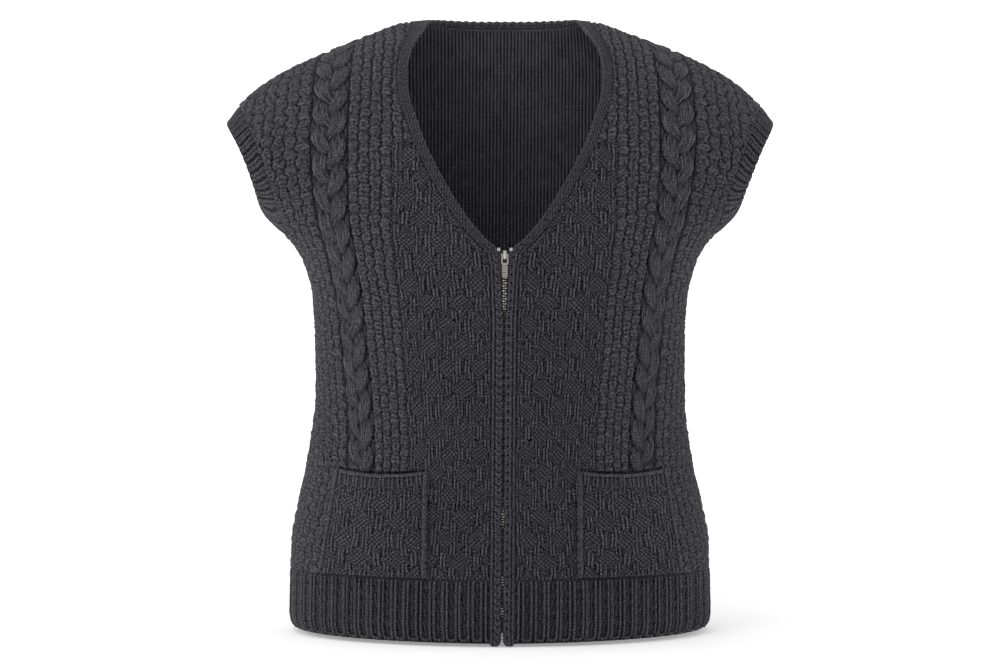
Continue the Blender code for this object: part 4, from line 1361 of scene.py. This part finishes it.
def add_strip(piece, place, width, shares, along, knit, wall, rise=0.0, ring=False, painted_shade_scale=1.0,
              both_sides=False):
    """Adds a strip of cloth as a closed shell. place(share) gives the skin's points and normals all
    along the strip at one share of its width; knit gives heights and values at all of them.
    painted_shade_scale scales the painted shading of its stitches, and below 1 draws painted shade.
    The inside is plain, or knitted too."""
    across = np.broadcast_to(shares * width, knit.height.shape)
    way = np.broadcast_to(along[:, None], knit.height.shape)
    # Painted shade: the stitches' painted shading is scaled down where the strip is drawn darker
    crown = np.clip(hollowness(knit.height) * painted_shade_scale, 0.0, 1.0)
    outside = (crown, *knit[1:], across, way)
    inner = (shares if both_sides else strip_shares(width, LINING_STEP))[::-1][1:-1]
    lines = []
    for k, share in enumerate((*shares, *inner)):
        points, normals = place(share)
        from_edge = min(share, 1.0 - share) * width
        inward = k - len(shares)
        if inward < 0:
            lift = rise - edge_round(from_edge, wall + rise)
            lift = lift + knit.height[:, k] * MM * edge_ease(from_edge)
        else:
            lift = edge_round(from_edge, wall + rise) - wall
            if both_sides:
                lift = lift - knit.height[:, -2 - inward] * MM * edge_ease(from_edge)
        lines.append(points + normals * np.broadcast_to(lift, along.shape)[:, None])
    points = np.stack(lines, axis=1)
    rows, columns = points.shape[:2]
    if both_sides:
        inside = [values[:, ::-1][:, 1:-1] for values in outside]
    else:
        plain = np.zeros((rows, len(inner)))
        inside = (plain + 0.4, plain, plain, plain, plain + inner * width, plain + along[:, None])
    faces = [grid_faces(rows, columns, ring_rows=ring, ring_columns=True)]
    if not ring:
        first = np.arange(columns)[None, :]
        faces += [first, (rows - 1) * columns + first[:, ::-1]]
    piece.add(points, faces, [np.hstack(pair) for pair in zip(outside, inside)])


def strip_knit(pattern, shares, width, along):
    """A pattern over a strip: its width runs across the columns of the result."""
    from_edge, length = np.meshgrid(shares * width, along)
    return pattern(length, from_edge)


class CARDIGAN_OT_hem(bpy.types.Operator):
    """Knit the two by two rib below both fronts and the back"""
    bl_idname = "cardigan.hem"
    bl_label = "Hem rib"

    def execute(self, context):
        cloth = context.scene.cardigan_cloth
        material = knit_material("hem rib", cloth.rib_yarn, 0.05, 1.62)
        width = (HEM_SEAM - HEM) / MM
        foot, coarse_step = HEM_FINE
        fine, coarse = strip_shares(width, STRIP_STEP), strip_shares(width, coarse_step)
        shares = np.concatenate((fine[fine * width < foot], coarse[coarse * width >= foot]))
        start = float(seam_turn(-1, np.array([HEM]))[0])
        side_seam = math.pi / 2
        for face, low, high, name in ((-1, start, side_seam, "hem_rib_front_left"),
                                      (-1, -start, -side_seam, "hem_rib_front_right"),
                                      (1, -side_seam, side_seam, "hem_rib_back")):
            turn, along = evenly_round(face, low, high, HEM_STEP)
            knit = strip_knit(hem_knit, shares, width, hem_ribs(face, turn, along))
            piece = Cloth()
            add_strip(piece, lambda share: hem_line(face, turn, share), width, shares, along, knit,
                      cloth.wall)
            made = piece.build(name + "_knit", material)
            declare(made, name, Cut(along.max() * MM, width * MM, STRIP_RELIEF))
        return {"FINISHED"}


def evenly_round(face, low, high, step):
    """Turns at even ways round the hem, and those ways in millimetres."""
    turn = np.linspace(low, high, 2000)
    points = skin(face, turn, (HEM + HEM_SEAM) / 2)
    way = way_along(points) / MM
    even = np.linspace(0.0, way[-1], round(way[-1] / step))
    return np.interp(even, way, turn), even


def hem_ribs(face, turn, along):
    """Places of the hem's stitches, counted from its middle. In front they are let out a little
    towards the sides."""
    rising = along if turn[-1] > turn[0] else along[::-1]
    from_middle = along - np.interp(0.0, np.sort(turn), rising)
    if face > 0:
        return from_middle
    straight = section("half_width", np.full(len(turn), HEM)) * np.sin(turn) / MM
    return 0.30 * (along - along[0]) + 0.70 * np.abs(straight - straight[0])


def hem_line(face, turn, share):
    level = HEM + (HEM_SEAM - HEM) * share
    return skin(face, turn, level), skin_normal(face, turn, np.full(len(turn), level))


class CARDIGAN_OT_cuffs(bpy.types.Operator):
    """Knit the cuffs, rings of narrow rib round the short sleeves"""
    bl_idname = "cardigan.cuffs"
    bl_label = "Cuffs"

    def execute(self, context):
        cloth = context.scene.cardigan_cloth
        material = knit_material("cuff rib", cloth.rib_yarn)
        for side, name in ((-1, "cuff_right"), (1, "cuff_left")):
            shares = strip_shares(CUFF_WIDTH, STRIP_STEP)
            length = loop_length(cuff_loop(side, 0.5)[0]) / MM
            count = round(length / CUFF_STEP)
            ribs = round(length / CUFF_RIB)
            along = np.arange(count) / count * ribs * CUFF_RIB
            slant = cuff_slant(side, count)
            from_edge, way = np.meshgrid(shares * CUFF_WIDTH, along)
            knit = cuff_knit(way + slant[:, None] * from_edge, from_edge)
            piece = Cloth()
            add_strip(piece, lambda share: resampled(*cuff_loop(side, share), count), CUFF_WIDTH,
                      shares, along, knit, cloth.wall, BAND_RISE, ring=True)
            made = piece.build(name + "_knit", material)
            declare(made, name, Cut(length * MM, CUFF_WIDTH * MM, STRIP_RELIEF))
        return {"FINISHED"}


def cuff_line(share):
    """Front view of the line round the cuff, from its free edge to its seam."""
    return tuple((b[0] + (a[0] - b[0]) * share, b[1] + (a[1] - b[1]) * share)
                 for a, b in zip(CUFF_SEAM, CUFF_EDGE))


def cuff_loop(side, share):
    """Loop round the sleeve at a share of the cuff's width: down the front and up the back."""
    line = cuff_line(share)
    levels = np.linspace(*CUFF_SPAN, 3101)
    inside = line_x(line, levels, CUFF_BOW) < section("half_width", levels)
    crossing = levels[np.flatnonzero(inside)]
    share_up = 0.5 - 0.5 * np.cos(np.linspace(0.0, math.pi, 500))
    up = crossing[0] + (crossing[-1] - crossing[0]) * share_up
    points, normals = [], []
    for face, run in ((-1, up[::-1]), (1, up)):
        turn = side * turn_at(line_x(line, run, CUFF_BOW), run)
        points.append(skin(face, turn, run))
        normals.append(skin_normal(face, turn, run))
    return np.concatenate(points), np.concatenate(normals)


def cuff_slant(side, count):
    """How far a rib of the cuff moves on round the loop for each millimetre in from the edge, so
    that the ribs point along the sleeve."""
    edge, seam = (resampled(*cuff_loop(side, share), count)[0] for share in (0.0, 1.0))
    round_it = unit(np.roll(edge, -3, axis=0) - np.roll(edge, 3, axis=0))
    inward = unit(seam - edge)
    lean = np.sum(inward * round_it, axis=1)
    square = inward - lean[:, None] * round_it
    rise = np.radians(np.interp(edge[:, 2], *SLEEVE_RISE))
    sleeve = np.stack((-side * np.cos(rise), np.zeros(count), np.sin(rise)), axis=1)
    reach = np.sum(inward * square, axis=1) / np.maximum(np.sum(sleeve * square, axis=1), 0.3)
    slant = lean - reach * np.sum(sleeve * round_it, axis=1)
    return np.clip(slant, -1.6, 1.6)


def loop_length(points):
    return float(np.linalg.norm(points - np.roll(points, 1, axis=0), axis=1).sum())


def resampled(points, normals, count):
    """Evenly spaced points round a closed loop."""
    way = way_along(np.vstack((points, points[:1])))
    even = np.arange(count) / count * way[-1]
    place, normal = (np.stack([np.interp(even, way, np.append(vectors[:, k], vectors[0, k]))
                               for k in range(3)], axis=1) for vectors in (points, normals))
    return place, unit(normal)


class CARDIGAN_OT_bands(bpy.types.Operator):
    """Knit the bands along the zip, up the V and round the nape"""
    bl_idname = "cardigan.bands"
    bl_label = "Bands"

    def execute(self, context):
        cloth = context.scene.cardigan_cloth
        material = knit_material("front band", cloth.rib_yarn, crown_painted_light=1.95)
        for side, name in ((-1, "band_right"), (1, "band_left")):
            make_band(name, material, -1, FRONT_BAND, side, cloth.wall)
        # Painted light: lighter painted shade in the gaps and a stronger painted highlight on the
        # crowns than on the fronts
        nape_material = knit_material("nape band", cloth.rib_yarn, 0.14, 3.3)
        whole = [Station(-a, b, -c, d) for a, b, c, d in NAPE_BAND[:0:-1]] + NAPE_BAND
        make_band("band_back_neck", nape_material, 1, whole, 1, cloth.wall)
        return {"FINISHED"}


def make_band(name, material, face, table, side, wall):
    """One band, its columns evenly spaced along its free edge."""
    fine = np.linspace(0, len(table) - 1, 4000)
    edge = band_line(face, table, side, fine, 0.35)[0]
    way = way_along(edge) / MM
    along = np.linspace(0.0, way[-1], round(way[-1] / STRIP_STEP))
    place = np.interp(along, way, fine)
    ends = [band_line(face, table, side, place, share)[0] for share in (0.0, 1.0)]
    widths = np.linalg.norm(ends[0] - ends[1], axis=1) / MM
    width = float(np.median(widths))
    shares = strip_shares(width, BAND_STEP)
    knit = band_knit(shares[None, :], along[:, None], widths[:, None], CHAINS[name])
    painted_shade_scale = 1.0
    if face < 0:
        level = along_band(table, place)[1][:, None]
        knit, painted_shade_scale = work_front_band(knit, level, (shares * width)[None, :], along[:, None])
    piece = Cloth()
    add_strip(piece, lambda share: band_line(face, table, side, place, share, along), width, shares,
              along, knit, wall, BAND_RISE, painted_shade_scale=painted_shade_scale, both_sides=face > 0)
    made = piece.build(name + "_knit", material)
    broad = float(np.percentile(widths, 90)) * MM
    declare(made, name, Cut(along[-1] * MM, broad, STRIP_RELIEF))


def work_front_band(knit, level, edge, along):
    """Works a front band over: flat under the pull, drawn in beside the teeth, raised at the top of
    the zip and twisted like a cord up the V. edge is the way in from its free edge, in millimetres.
    Gives the knit, and a factor that draws painted shade: a dark line along the free edge beside
    the teeth, in the gap where the two bands meet."""
    foot, head = PULL_SWEEP
    flat = ramp(level, foot, foot + 0.004) * ramp(level, head + 0.004, head) * ramp(edge, 5.5, 3.0)
    height = np.minimum(knit.height, knit.height * (1 - flat))
    beside_zip = ramp(level, *BESIDE_TEETH)
    height = height - ZIP_GAP * beside_zip * notch(edge, 1.0)
    height = height + 0.8 * (1.0 - ramp(level, *ZIP_HEAD)) * dome(edge - 1.5, 1.3)
    vee = 1.0 - ramp(level, *VEE_FOOT)
    twist, _ = from_nearest(along + 1.3 * edge, 5.2)
    cord = 0.9 * dome(edge - 6.4, 6.2) ** 0.6 - 1.25 * notch(twist, 0.9) - 0.1
    cord = cord + 0.4 * soft_noise(edge, along, 3.0, 52)
    height = height + 0.65 * vee * (cord - height)
    # Painted shade along the free edge beside the teeth, where the bands meet over the zip
    return knit._replace(height=height), 1.0 - 0.95 * beside_zip * notch(edge, 1.2)


def band_line(face, table, side, place, share, along=None):
    """Points and normals of the skin along a band at a share of its width from the free edge."""
    edge_x, edge_level, seam_x, seam_level = along_band(table, place)
    if along is not None:
        links = np.cos(2 * math.pi * along / BAND_LINK)
        if face < 0:
            edge_x = edge_x + gape(edge_level) + SCALLOPS[0] * links
            edge_x = edge_x - CLOSING * ramp(edge_level, *CLOSED) * (edge_level > HEM)
        else:
            edge_level = edge_level + SCALLOPS[1] * links
    edge, seam = turn_at(edge_x, edge_level), turn_at(seam_x, seam_level)
    turn = side * (edge + (seam - edge) * share)
    level = edge_level + (seam_level - edge_level) * share
    level = np.clip(level, HEM, NECK_TOP)
    points = skin(face, turn, level)
    if face < 0:
        points[..., 2] -= BAND_DROOP * ramp(edge_level, -0.650, HEM) * dome(share - 0.5, 0.56)
    return points, skin_normal(face, turn, level)


def gape(level):
    """How far the bands part along the zip, where its teeth peep out."""
    along_zip = sum(ramp(np.abs(level - middle), half, 0.4 * half) for middle, half in GAPES)
    return GAPE * along_zip + FOOT_GAPE * ramp(level, -0.6540, HEM)


# ---------------------------------------------------------------- pockets

class CARDIGAN_OT_pockets(bpy.types.Operator):
    """Knit both patch pockets, with rolled sides and a short rib at the mouth"""
    bl_idname = "cardigan.pockets"
    bl_label = "Pockets"

    def execute(self, context):
        material = knit_material("pocket knit", context.scene.cardigan_cloth.yarn)
        wide, tall = POCKET_SIZE
        across, up = strip_shares(wide, POCKET_STEP), strip_shares(tall, POCKET_STEP)
        u, v = np.meshgrid(across, up)
        from_edge = np.minimum(np.minimum(u, 1 - u) * wide, np.minimum(v, 1 - v) * tall)
        knit = pocket_knit(u * wide, v * tall, wide, tall)
        front = GAP + POCKET_WALL + pocket_bulge(u, v) - edge_round(from_edge, POCKET_WALL)
        front = front + knit.height * MM * ramp(from_edge, -0.8, 1.6)
        # Painted shade in the gaps and painted highlight on the crowns of the pocket's stitches
        front_values = (hollowness(knit.height), *knit[1:], u * wide, v * tall)
        inner_u, inner_v = np.meshgrid(thinned(across), thinned(up))
        from_rim = np.minimum(np.minimum(inner_u, 1 - inner_u), np.minimum(inner_v, 1 - inner_v))
        on_rim = from_rim < 1e-9
        inner = GAP + POCKET_WALL / 2 * on_rim + pocket_bulge(inner_u, inner_v)
        inner_values = (0.4, 0.0, 0.0, 0.0, inner_u * wide, inner_v * tall)
        for side, name in ((-1, "pocket_right"), (1, "pocket_left")):
            piece = Cloth()
            borders = []
            for place, lift, values in (((u, v), front, front_values),
                                        ((inner_u, inner_v), inner, inner_values)):
                points = pocket_points(side, *place, lift)
                start = piece.add(points, [grid_faces(*points.shape[:2])], values)
                borders.append([k + start for k in grid_border(*points.shape[:2])])
            piece.sew(*borders)
            made = piece.build(name + "_knit", material)
            declare(made, name, POCKET_CUT)
        return {"FINISHED"}


def pocket_points(side, u, v, lift):
    """Points of one pocket, lifted off the skin."""
    level, turn = pocket_place(u, v)
    return skin(-1, side * turn, level) + skin_normal(-1, side * turn, level) * lift[..., None]


def pocket_bulge(u, v):
    """How far the pocket stands off the front: most at its mouth, none along its seams."""
    from_seam = np.minimum(np.minimum(u, 1 - u), v)
    return POCKET_BULGE * np.sin(math.pi * u) ** 0.8 * ramp(from_seam, 0.0, 0.35)


def thinned(shares):
    """Evenly spaced shares, a sixth as many as the given ones."""
    return np.linspace(0.0, 1.0, 1 + len(shares) // 6)


def grid_border(rows, columns):
    """Numbers of a grid's border points, in order."""
    bottom = list(range(columns))
    right = [k * columns + columns - 1 for k in range(1, rows)]
    top = [(rows - 1) * columns + k for k in range(columns - 2, -1, -1)]
    left = [k * columns for k in range(rows - 2, 0, -1)]
    return bottom + right + top + left


def pocket_place(u, v):
    """Level and turn of a place on the pocket, given as shares of its width and height."""
    top = POCKET_TOP - POCKET_SAG * np.sin(math.pi * u)
    level = POCKET_BOTTOM + (top - POCKET_BOTTOM) * v
    x = POCKET_INNER + (line_x(POCKET_OUTER, level) - POCKET_INNER) * u
    return level, turn_at(x, level)


def pocket_knit(x, y, wide, tall):
    """The pocket's all-over stitch, with a short rib at its mouth and a roll down each side."""
    knit = all_over(*wandering(x, y), POCKET_REPEAT, POCKET_ORIGIN)
    pitch, deep = POCKET_RIB
    from_top = tall - y + 1.6 * soft_noise(x, y, 9.0, 45)
    off, _ = from_nearest(x + 0.7 * soft_noise(x, y, 12.0, 46), pitch)
    height, _ = long_loop(off, from_top - 0.5 * deep, 0.55 * deep)
    lip = LIP_CROWN * dome(tall - y - 2.2, 2.2) - 0.4 * notch(tall - y - 4.6, 0.9)
    lip = lip + (0.7 * soft_noise(x, y, 3.0, 51) - 0.5 * notch(off, 1.2)) * (tall - y < 4.4)
    height = np.maximum(height - 0.2, lip) + np.minimum(lip, 0.0)
    loops = Knit(height, (y + np.abs(off)) / 3.6, np.full(np.shape(x), 0.4), off / 2.6)
    knit = pick(from_top < deep, loops, knit)
    for from_side, wide_roll, high in zip((x, wide - x), ROLL_WIDTH, ROLL_CROWNS):
        height = high * dome(from_side - wide_roll / 2, wide_roll / 2)
        stroke, _ = from_nearest(y + 1.4 * from_side, 4.4)
        height = height - 0.7 * notch(from_side - wide_roll, 0.9) - 0.55 * notch(stroke, 0.9)
        height = height + 0.8 * soft_noise(x, y, 3.2, 47)
        roll = Knit(height, (y + 1.5 * from_side) / PLY, np.full(np.shape(x), 0.6), from_side / 2.8)
        knit = pick(from_side < wide_roll + 0.8, roll, knit)
    return knit


# ---------------------------------------------------------------- the zip

class CARDIGAN_OT_zip(bpy.types.Operator):
    """Set the zip's metal teeth, and finish its tapes, slider, pull, box and stops"""
    bl_idname = "cardigan.zip"
    bl_label = "Zip"

    def execute(self, context):
        settings = context.scene.cardigan_zip
        tape = tape_material("zip tape", context.scene.cardigan_cloth.tape)
        teeth_metal = metal_material("zip teeth", settings.metal, 0.30, meshed=True)
        fittings = metal_material("zip fittings", settings.metal, 0.26)
        slider = metal_material("zip slider", settings.metal, 0.26, painted_shade_depths=PLATE_SHADE)
        pull = metal_material("zip pull", settings.metal, 0.26, grooved=PULL_GROOVES)
        box = metal_material("zip box", settings.metal, 0.35, grooved=BOX_GROOVES)
        made = tooth_mesh(settings)
        instance_along(made, zip_path(), settings, teeth_metal)
        add_cord(made, tape)
        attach(made, BODY)
        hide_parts("zip_chain")
        for name, material in (("zip_tape_right", tape), ("zip_tape_left", tape),
                               ("zip_stop_right", fittings), ("zip_stop_left", fittings),
                               ("zip_bottom_box", box), ("zip_slider", slider), ("pull_tab", pull)):
            dress(name, material)
        return {"FINISHED"}


def dress(name, material):
    """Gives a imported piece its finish."""
    made = bpy.data.objects[name]
    if not made.material_slots:
        made.data.materials.append(material)
    for slot in made.material_slots:
        slot.material = material


def zip_path():
    """Curve down the middle of the teeth."""
    levels = np.linspace(CHAIN_BOTTOM, CHAIN_TOP, CHAIN_STATIONS)
    middle = np.zeros(CHAIN_STATIONS)
    points = skin(-1, middle, levels) - skin_normal(-1, middle, levels) * CHAIN_DEPTH
    curve = bpy.data.curves.new("zip_path", "CURVE")
    curve.dimensions = "3D"
    spline = curve.splines.new("POLY")
    spline.points.add(len(points) - 1)
    spline.points.foreach_set("co", np.column_stack((points, np.ones(len(points)))).ravel())
    return put("zip_path", curve)


def add_cord(made, material):
    """Adds the tapes' woven cords, which close the way through behind the teeth."""
    levels = np.linspace(CHAIN_BOTTOM, CHAIN_TOP, CHAIN_STATIONS)
    near, far = CORD_DEPTHS
    corners = []
    for x, depth in ((-1, near), (1, near), (1, far), (-1, far)):
        turn = turn_at(x * 0.95 * CHAIN_HALF, levels)
        corners.append(skin(-1, turn, levels) - skin_normal(-1, turn, levels) * depth)
    points = np.stack(corners, axis=1).reshape(-1, 3)
    work = bmesh.new()
    work.from_mesh(made.data)
    made.data.materials.append(material)
    corners = [work.verts.new(point) for point in points]
    faces = grid_faces(CHAIN_STATIONS, 4, ring_columns=True).tolist()
    faces += [[0, 1, 2, 3], [len(points) - k for k in (1, 2, 3, 4)]]
    added = [work.faces.new([corners[k] for k in face]) for face in faces]
    for face in added:
        face.material_index = len(made.data.materials) - 1
    bmesh.ops.recalc_face_normals(work, faces=added)
    work.to_mesh(made.data)
    work.free()


def tooth_mesh(settings):
    """One tooth: a bar with rounded corners, a little taller towards its free end."""
    half, tall = settings.tooth / 2, settings.pitch * 0.125
    work = bmesh.new()
    bmesh.ops.create_cube(work, size=2.0)
    bmesh.ops.scale(work, vec=(half, TOOTH_DEPTH, tall), verts=work.verts)
    bmesh.ops.bevel(work, geom=list(work.edges), offset=tall * 0.45, segments=2, profile=0.6,
                    affect="EDGES")
    for vertex in work.verts:
        vertex.co.z *= 1.0 + 0.28 * vertex.co.x / half
        vertex.co.x += CHAIN_HALF * 0.18
    mesh = bpy.data.meshes.new("zip_teeth")
    work.to_mesh(mesh)
    work.free()
    mesh.shade_smooth()
    return put("zip_teeth", mesh)


def teeth_tree():
    """Geometry Nodes: copies of a tooth along a path, every other one turned to the other tape.
    Gives the tree and its inputs' identifiers."""
    tree = bpy.data.node_groups.new("zip teeth", "GeometryNodeTree")
    inputs = {}
    for name, kind in (("Tooth", "Geometry"), ("Path", "Object"), ("Pitch", "Float"),
                       ("Looseness", "Float"), ("Seed", "Int"), ("Metal", "Material")):
        socket = tree.interface.new_socket(name=name, in_out="INPUT",
                                           socket_type="NodeSocket" + kind)
        inputs[name] = socket.identifier
    tree.interface.new_socket(name="Teeth", in_out="OUTPUT", socket_type="NodeSocketGeometry")

    def node(kind, values=(), **settings):
        """Outputs of a new node whose inputs, by name or number, are linked or set."""
        made = tree.nodes.new(kind)
        for key, value in settings.items():
            setattr(made, key, value)
        for key, value in dict(values).items():
            if isinstance(value, bpy.types.NodeSocket):
                tree.links.new(value, made.inputs[key])
            else:
                made.inputs[key].default_value = value
        return made.outputs

    def calculate(operation, first, second):
        return node("ShaderNodeMath", {0: first, 1: second}, operation=operation)[0]

    given = node("NodeGroupInput")
    curve = node("GeometryNodeObjectInfo", {"Object": given["Path"]})["Geometry"]
    spacing = calculate("MULTIPLY", given["Pitch"], 0.5)
    places = node("GeometryNodeResampleCurve", {"Curve": curve, "Length": spacing},
                  mode="LENGTH")[0]
    odd = calculate("MODULO", node("GeometryNodeInputIndex")[0], 2.0)
    random = node("FunctionNodeRandomValue", {"Seed": given["Seed"]}, data_type="FLOAT")
    chance = next(socket for socket in random if socket.type == "VALUE" and socket.enabled)
    tilt = calculate("MULTIPLY", calculate("SUBTRACT", chance, 0.5), given["Looseness"])
    angles = node("ShaderNodeCombineXYZ", {"Y": tilt, "Z": calculate("MULTIPLY", odd, math.pi)})[0]
    rotation = node("FunctionNodeEulerToRotation", {0: angles})[0]
    copies = node("GeometryNodeInstanceOnPoints",
                  {"Points": places, "Instance": given["Tooth"], "Rotation": rotation})[0]
    real = node("GeometryNodeRealizeInstances", {"Geometry": copies})[0]
    finished = node("GeometryNodeSetMaterial", {"Geometry": real, "Material": given["Metal"]})[0]
    node("NodeGroupOutput", {"Teeth": finished})
    return tree, inputs


def instance_along(made, path, settings, material):
    """Turns one tooth into a plain mesh of all the teeth along a path."""
    tree, inputs = teeth_tree()
    modifier = made.modifiers.new("teeth", "NODES")
    modifier.node_group = tree
    for name, value in (("Path", path), ("Pitch", settings.pitch), ("Seed", settings.seed),
                        ("Looseness", settings.looseness), ("Metal", material)):
        modifier[inputs[name]] = value
    bpy.context.view_layer.update()
    evaluated = made.evaluated_get(bpy.context.evaluated_depsgraph_get())
    mesh = bpy.data.meshes.new_from_object(evaluated)
    made.modifiers.remove(modifier)
    made.data = mesh
    bpy.data.objects.remove(path)


PIECES = (CARDIGAN_OT_fronts, CARDIGAN_OT_back, CARDIGAN_OT_hem, CARDIGAN_OT_cuffs,
          CARDIGAN_OT_bands, CARDIGAN_OT_pockets, CARDIGAN_OT_zip)


class CARDIGAN_OT_stage(bpy.types.Operator):
    """Set the floor, the soft lights and the camera"""
    bl_idname = "cardigan.stage"
    bl_label = "Studio"

    def execute(self, context):
        stage = context.scene.cardigan_stage
        make_floor(stage.floor)
        make_lights()
        camera = bpy.data.cameras.new("camera")
        camera.lens = stage.lens
        camera.sensor_width = 36.0
        camera.shift_x = 0.004
        holder = put("camera", camera)
        holder.location = (0.0, -stage.distance, stage.eye)
        holder.rotation_euler = (math.pi / 2, 0.0, 0.0)
        context.scene.camera = holder
        context.scene.view_settings.view_transform = "Standard"
        return {"FINISHED"}


def make_floor(level):
    """A floor that sweeps up into a wall behind."""
    points, faces = [], []
    radius, reach, width = 1.5, 6.0, 14.0
    profile = [(-12.0, 0.0), (reach, 0.0)]
    for k in range(1, 13):
        angle = 0.5 * math.pi * k / 12
        profile.append((reach + radius * math.sin(angle), radius * (1 - math.cos(angle))))
    profile.append((reach + radius, 9.0))
    for y, z in profile:
        points += [(-width, y, level + z), (width, y, level + z)]
    for k in range(len(profile) - 1):
        faces.append((2 * k, 2 * k + 1, 2 * k + 3, 2 * k + 2))
    mesh = bpy.data.meshes.new("studio_sweep")
    mesh.from_pydata(points, [], faces)
    mesh.shade_smooth()
    mesh.materials.append(plain_material("studio paper", (0.74, 0.74, 0.74)))
    put("studio_sweep", mesh)


class Lamp(NamedTuple):
    """One round soft lamp, aimed at the garment's middle."""
    name: str
    place: tuple
    size: float
    power: float


LAMP_AIM = Vector((0.0, 0.0, -0.33))
LAMPS = (
    Lamp("key", (-1.5, -2.2, 0.9), 2.6, 32.0),
    Lamp("fill", (1.7, -2.0, 0.5), 1.8, 5.0),
    Lamp("top", (-0.4, -0.6, 1.9), 1.8, 8.0),
    Lamp("left side", (-2.3, 0.1, 0.1), 1.2, 15.0),
    Lamp("right side", (2.3, 0.1, 0.1), 1.2, 10.0),
)


def make_lights():
    """Large soft lamps in front, above and at both sides, in a bright white room."""
    for lamp in LAMPS:
        data = bpy.data.lights.new(lamp.name, "AREA")
        data.shape = "DISK"
        data.size = lamp.size
        data.energy = lamp.power
        holder = put(lamp.name, data)
        holder.location = lamp.place
        holder.rotation_euler = (LAMP_AIM - Vector(lamp.place)).to_track_quat("-Z", "Y").to_euler()
    world = bpy.data.worlds.new("studio")
    world.use_nodes = True
    background = world.node_tree.nodes["Background"]
    background.inputs["Color"].default_value = (1.0, 1.0, 1.0, 1.0)
    background.inputs["Strength"].default_value = 0.72
    bpy.context.scene.world = world


# ---------------------------------------------------------------- add-on

class CARDIGAN_PT_panel(bpy.types.Panel):
    """Cardigan's settings and pieces"""
    bl_label = "Cardigan"
    bl_idname = "CARDIGAN_PT_panel"
    bl_space_type = "VIEW_3D"
    bl_region_type = "UI"
    bl_category = "Cardigan"

    def draw(self, context):
        for group in GROUPS:
            settings = getattr(context.scene, group)
            box = self.layout.box()
            for name in settings.__annotations__:
                box.prop(settings, name)
        for operator in (*PIECES, CARDIGAN_OT_stage):
            self.layout.operator(operator.bl_idname)


GROUPS = {
    "cardigan_cloth": ClothSettings,
    "cardigan_zip": ZipSettings,
    "cardigan_stage": StageSettings,
}


def register():
    for group in GROUPS.values():
        bpy.utils.register_class(group)
    for name, group in GROUPS.items():
        setattr(bpy.types.Scene, name, PointerProperty(type=group))
    for operator in (*PIECES, CARDIGAN_OT_stage):
        bpy.utils.register_class(operator)
    bpy.utils.register_class(CARDIGAN_PT_panel)


def unregister():
    bpy.utils.unregister_class(CARDIGAN_PT_panel)
    for operator in reversed((*PIECES, CARDIGAN_OT_stage)):
        bpy.utils.unregister_class(operator)
    for name in GROUPS:
        delattr(bpy.types.Scene, name)
    for group in GROUPS.values():
        bpy.utils.unregister_class(group)


def main():
    register()
    for operator in (*PIECES, CARDIGAN_OT_stage):
        area, name = operator.bl_idname.split(".")
        getattr(getattr(bpy.ops, area), name)()


if __name__ == "__main__":
    main()
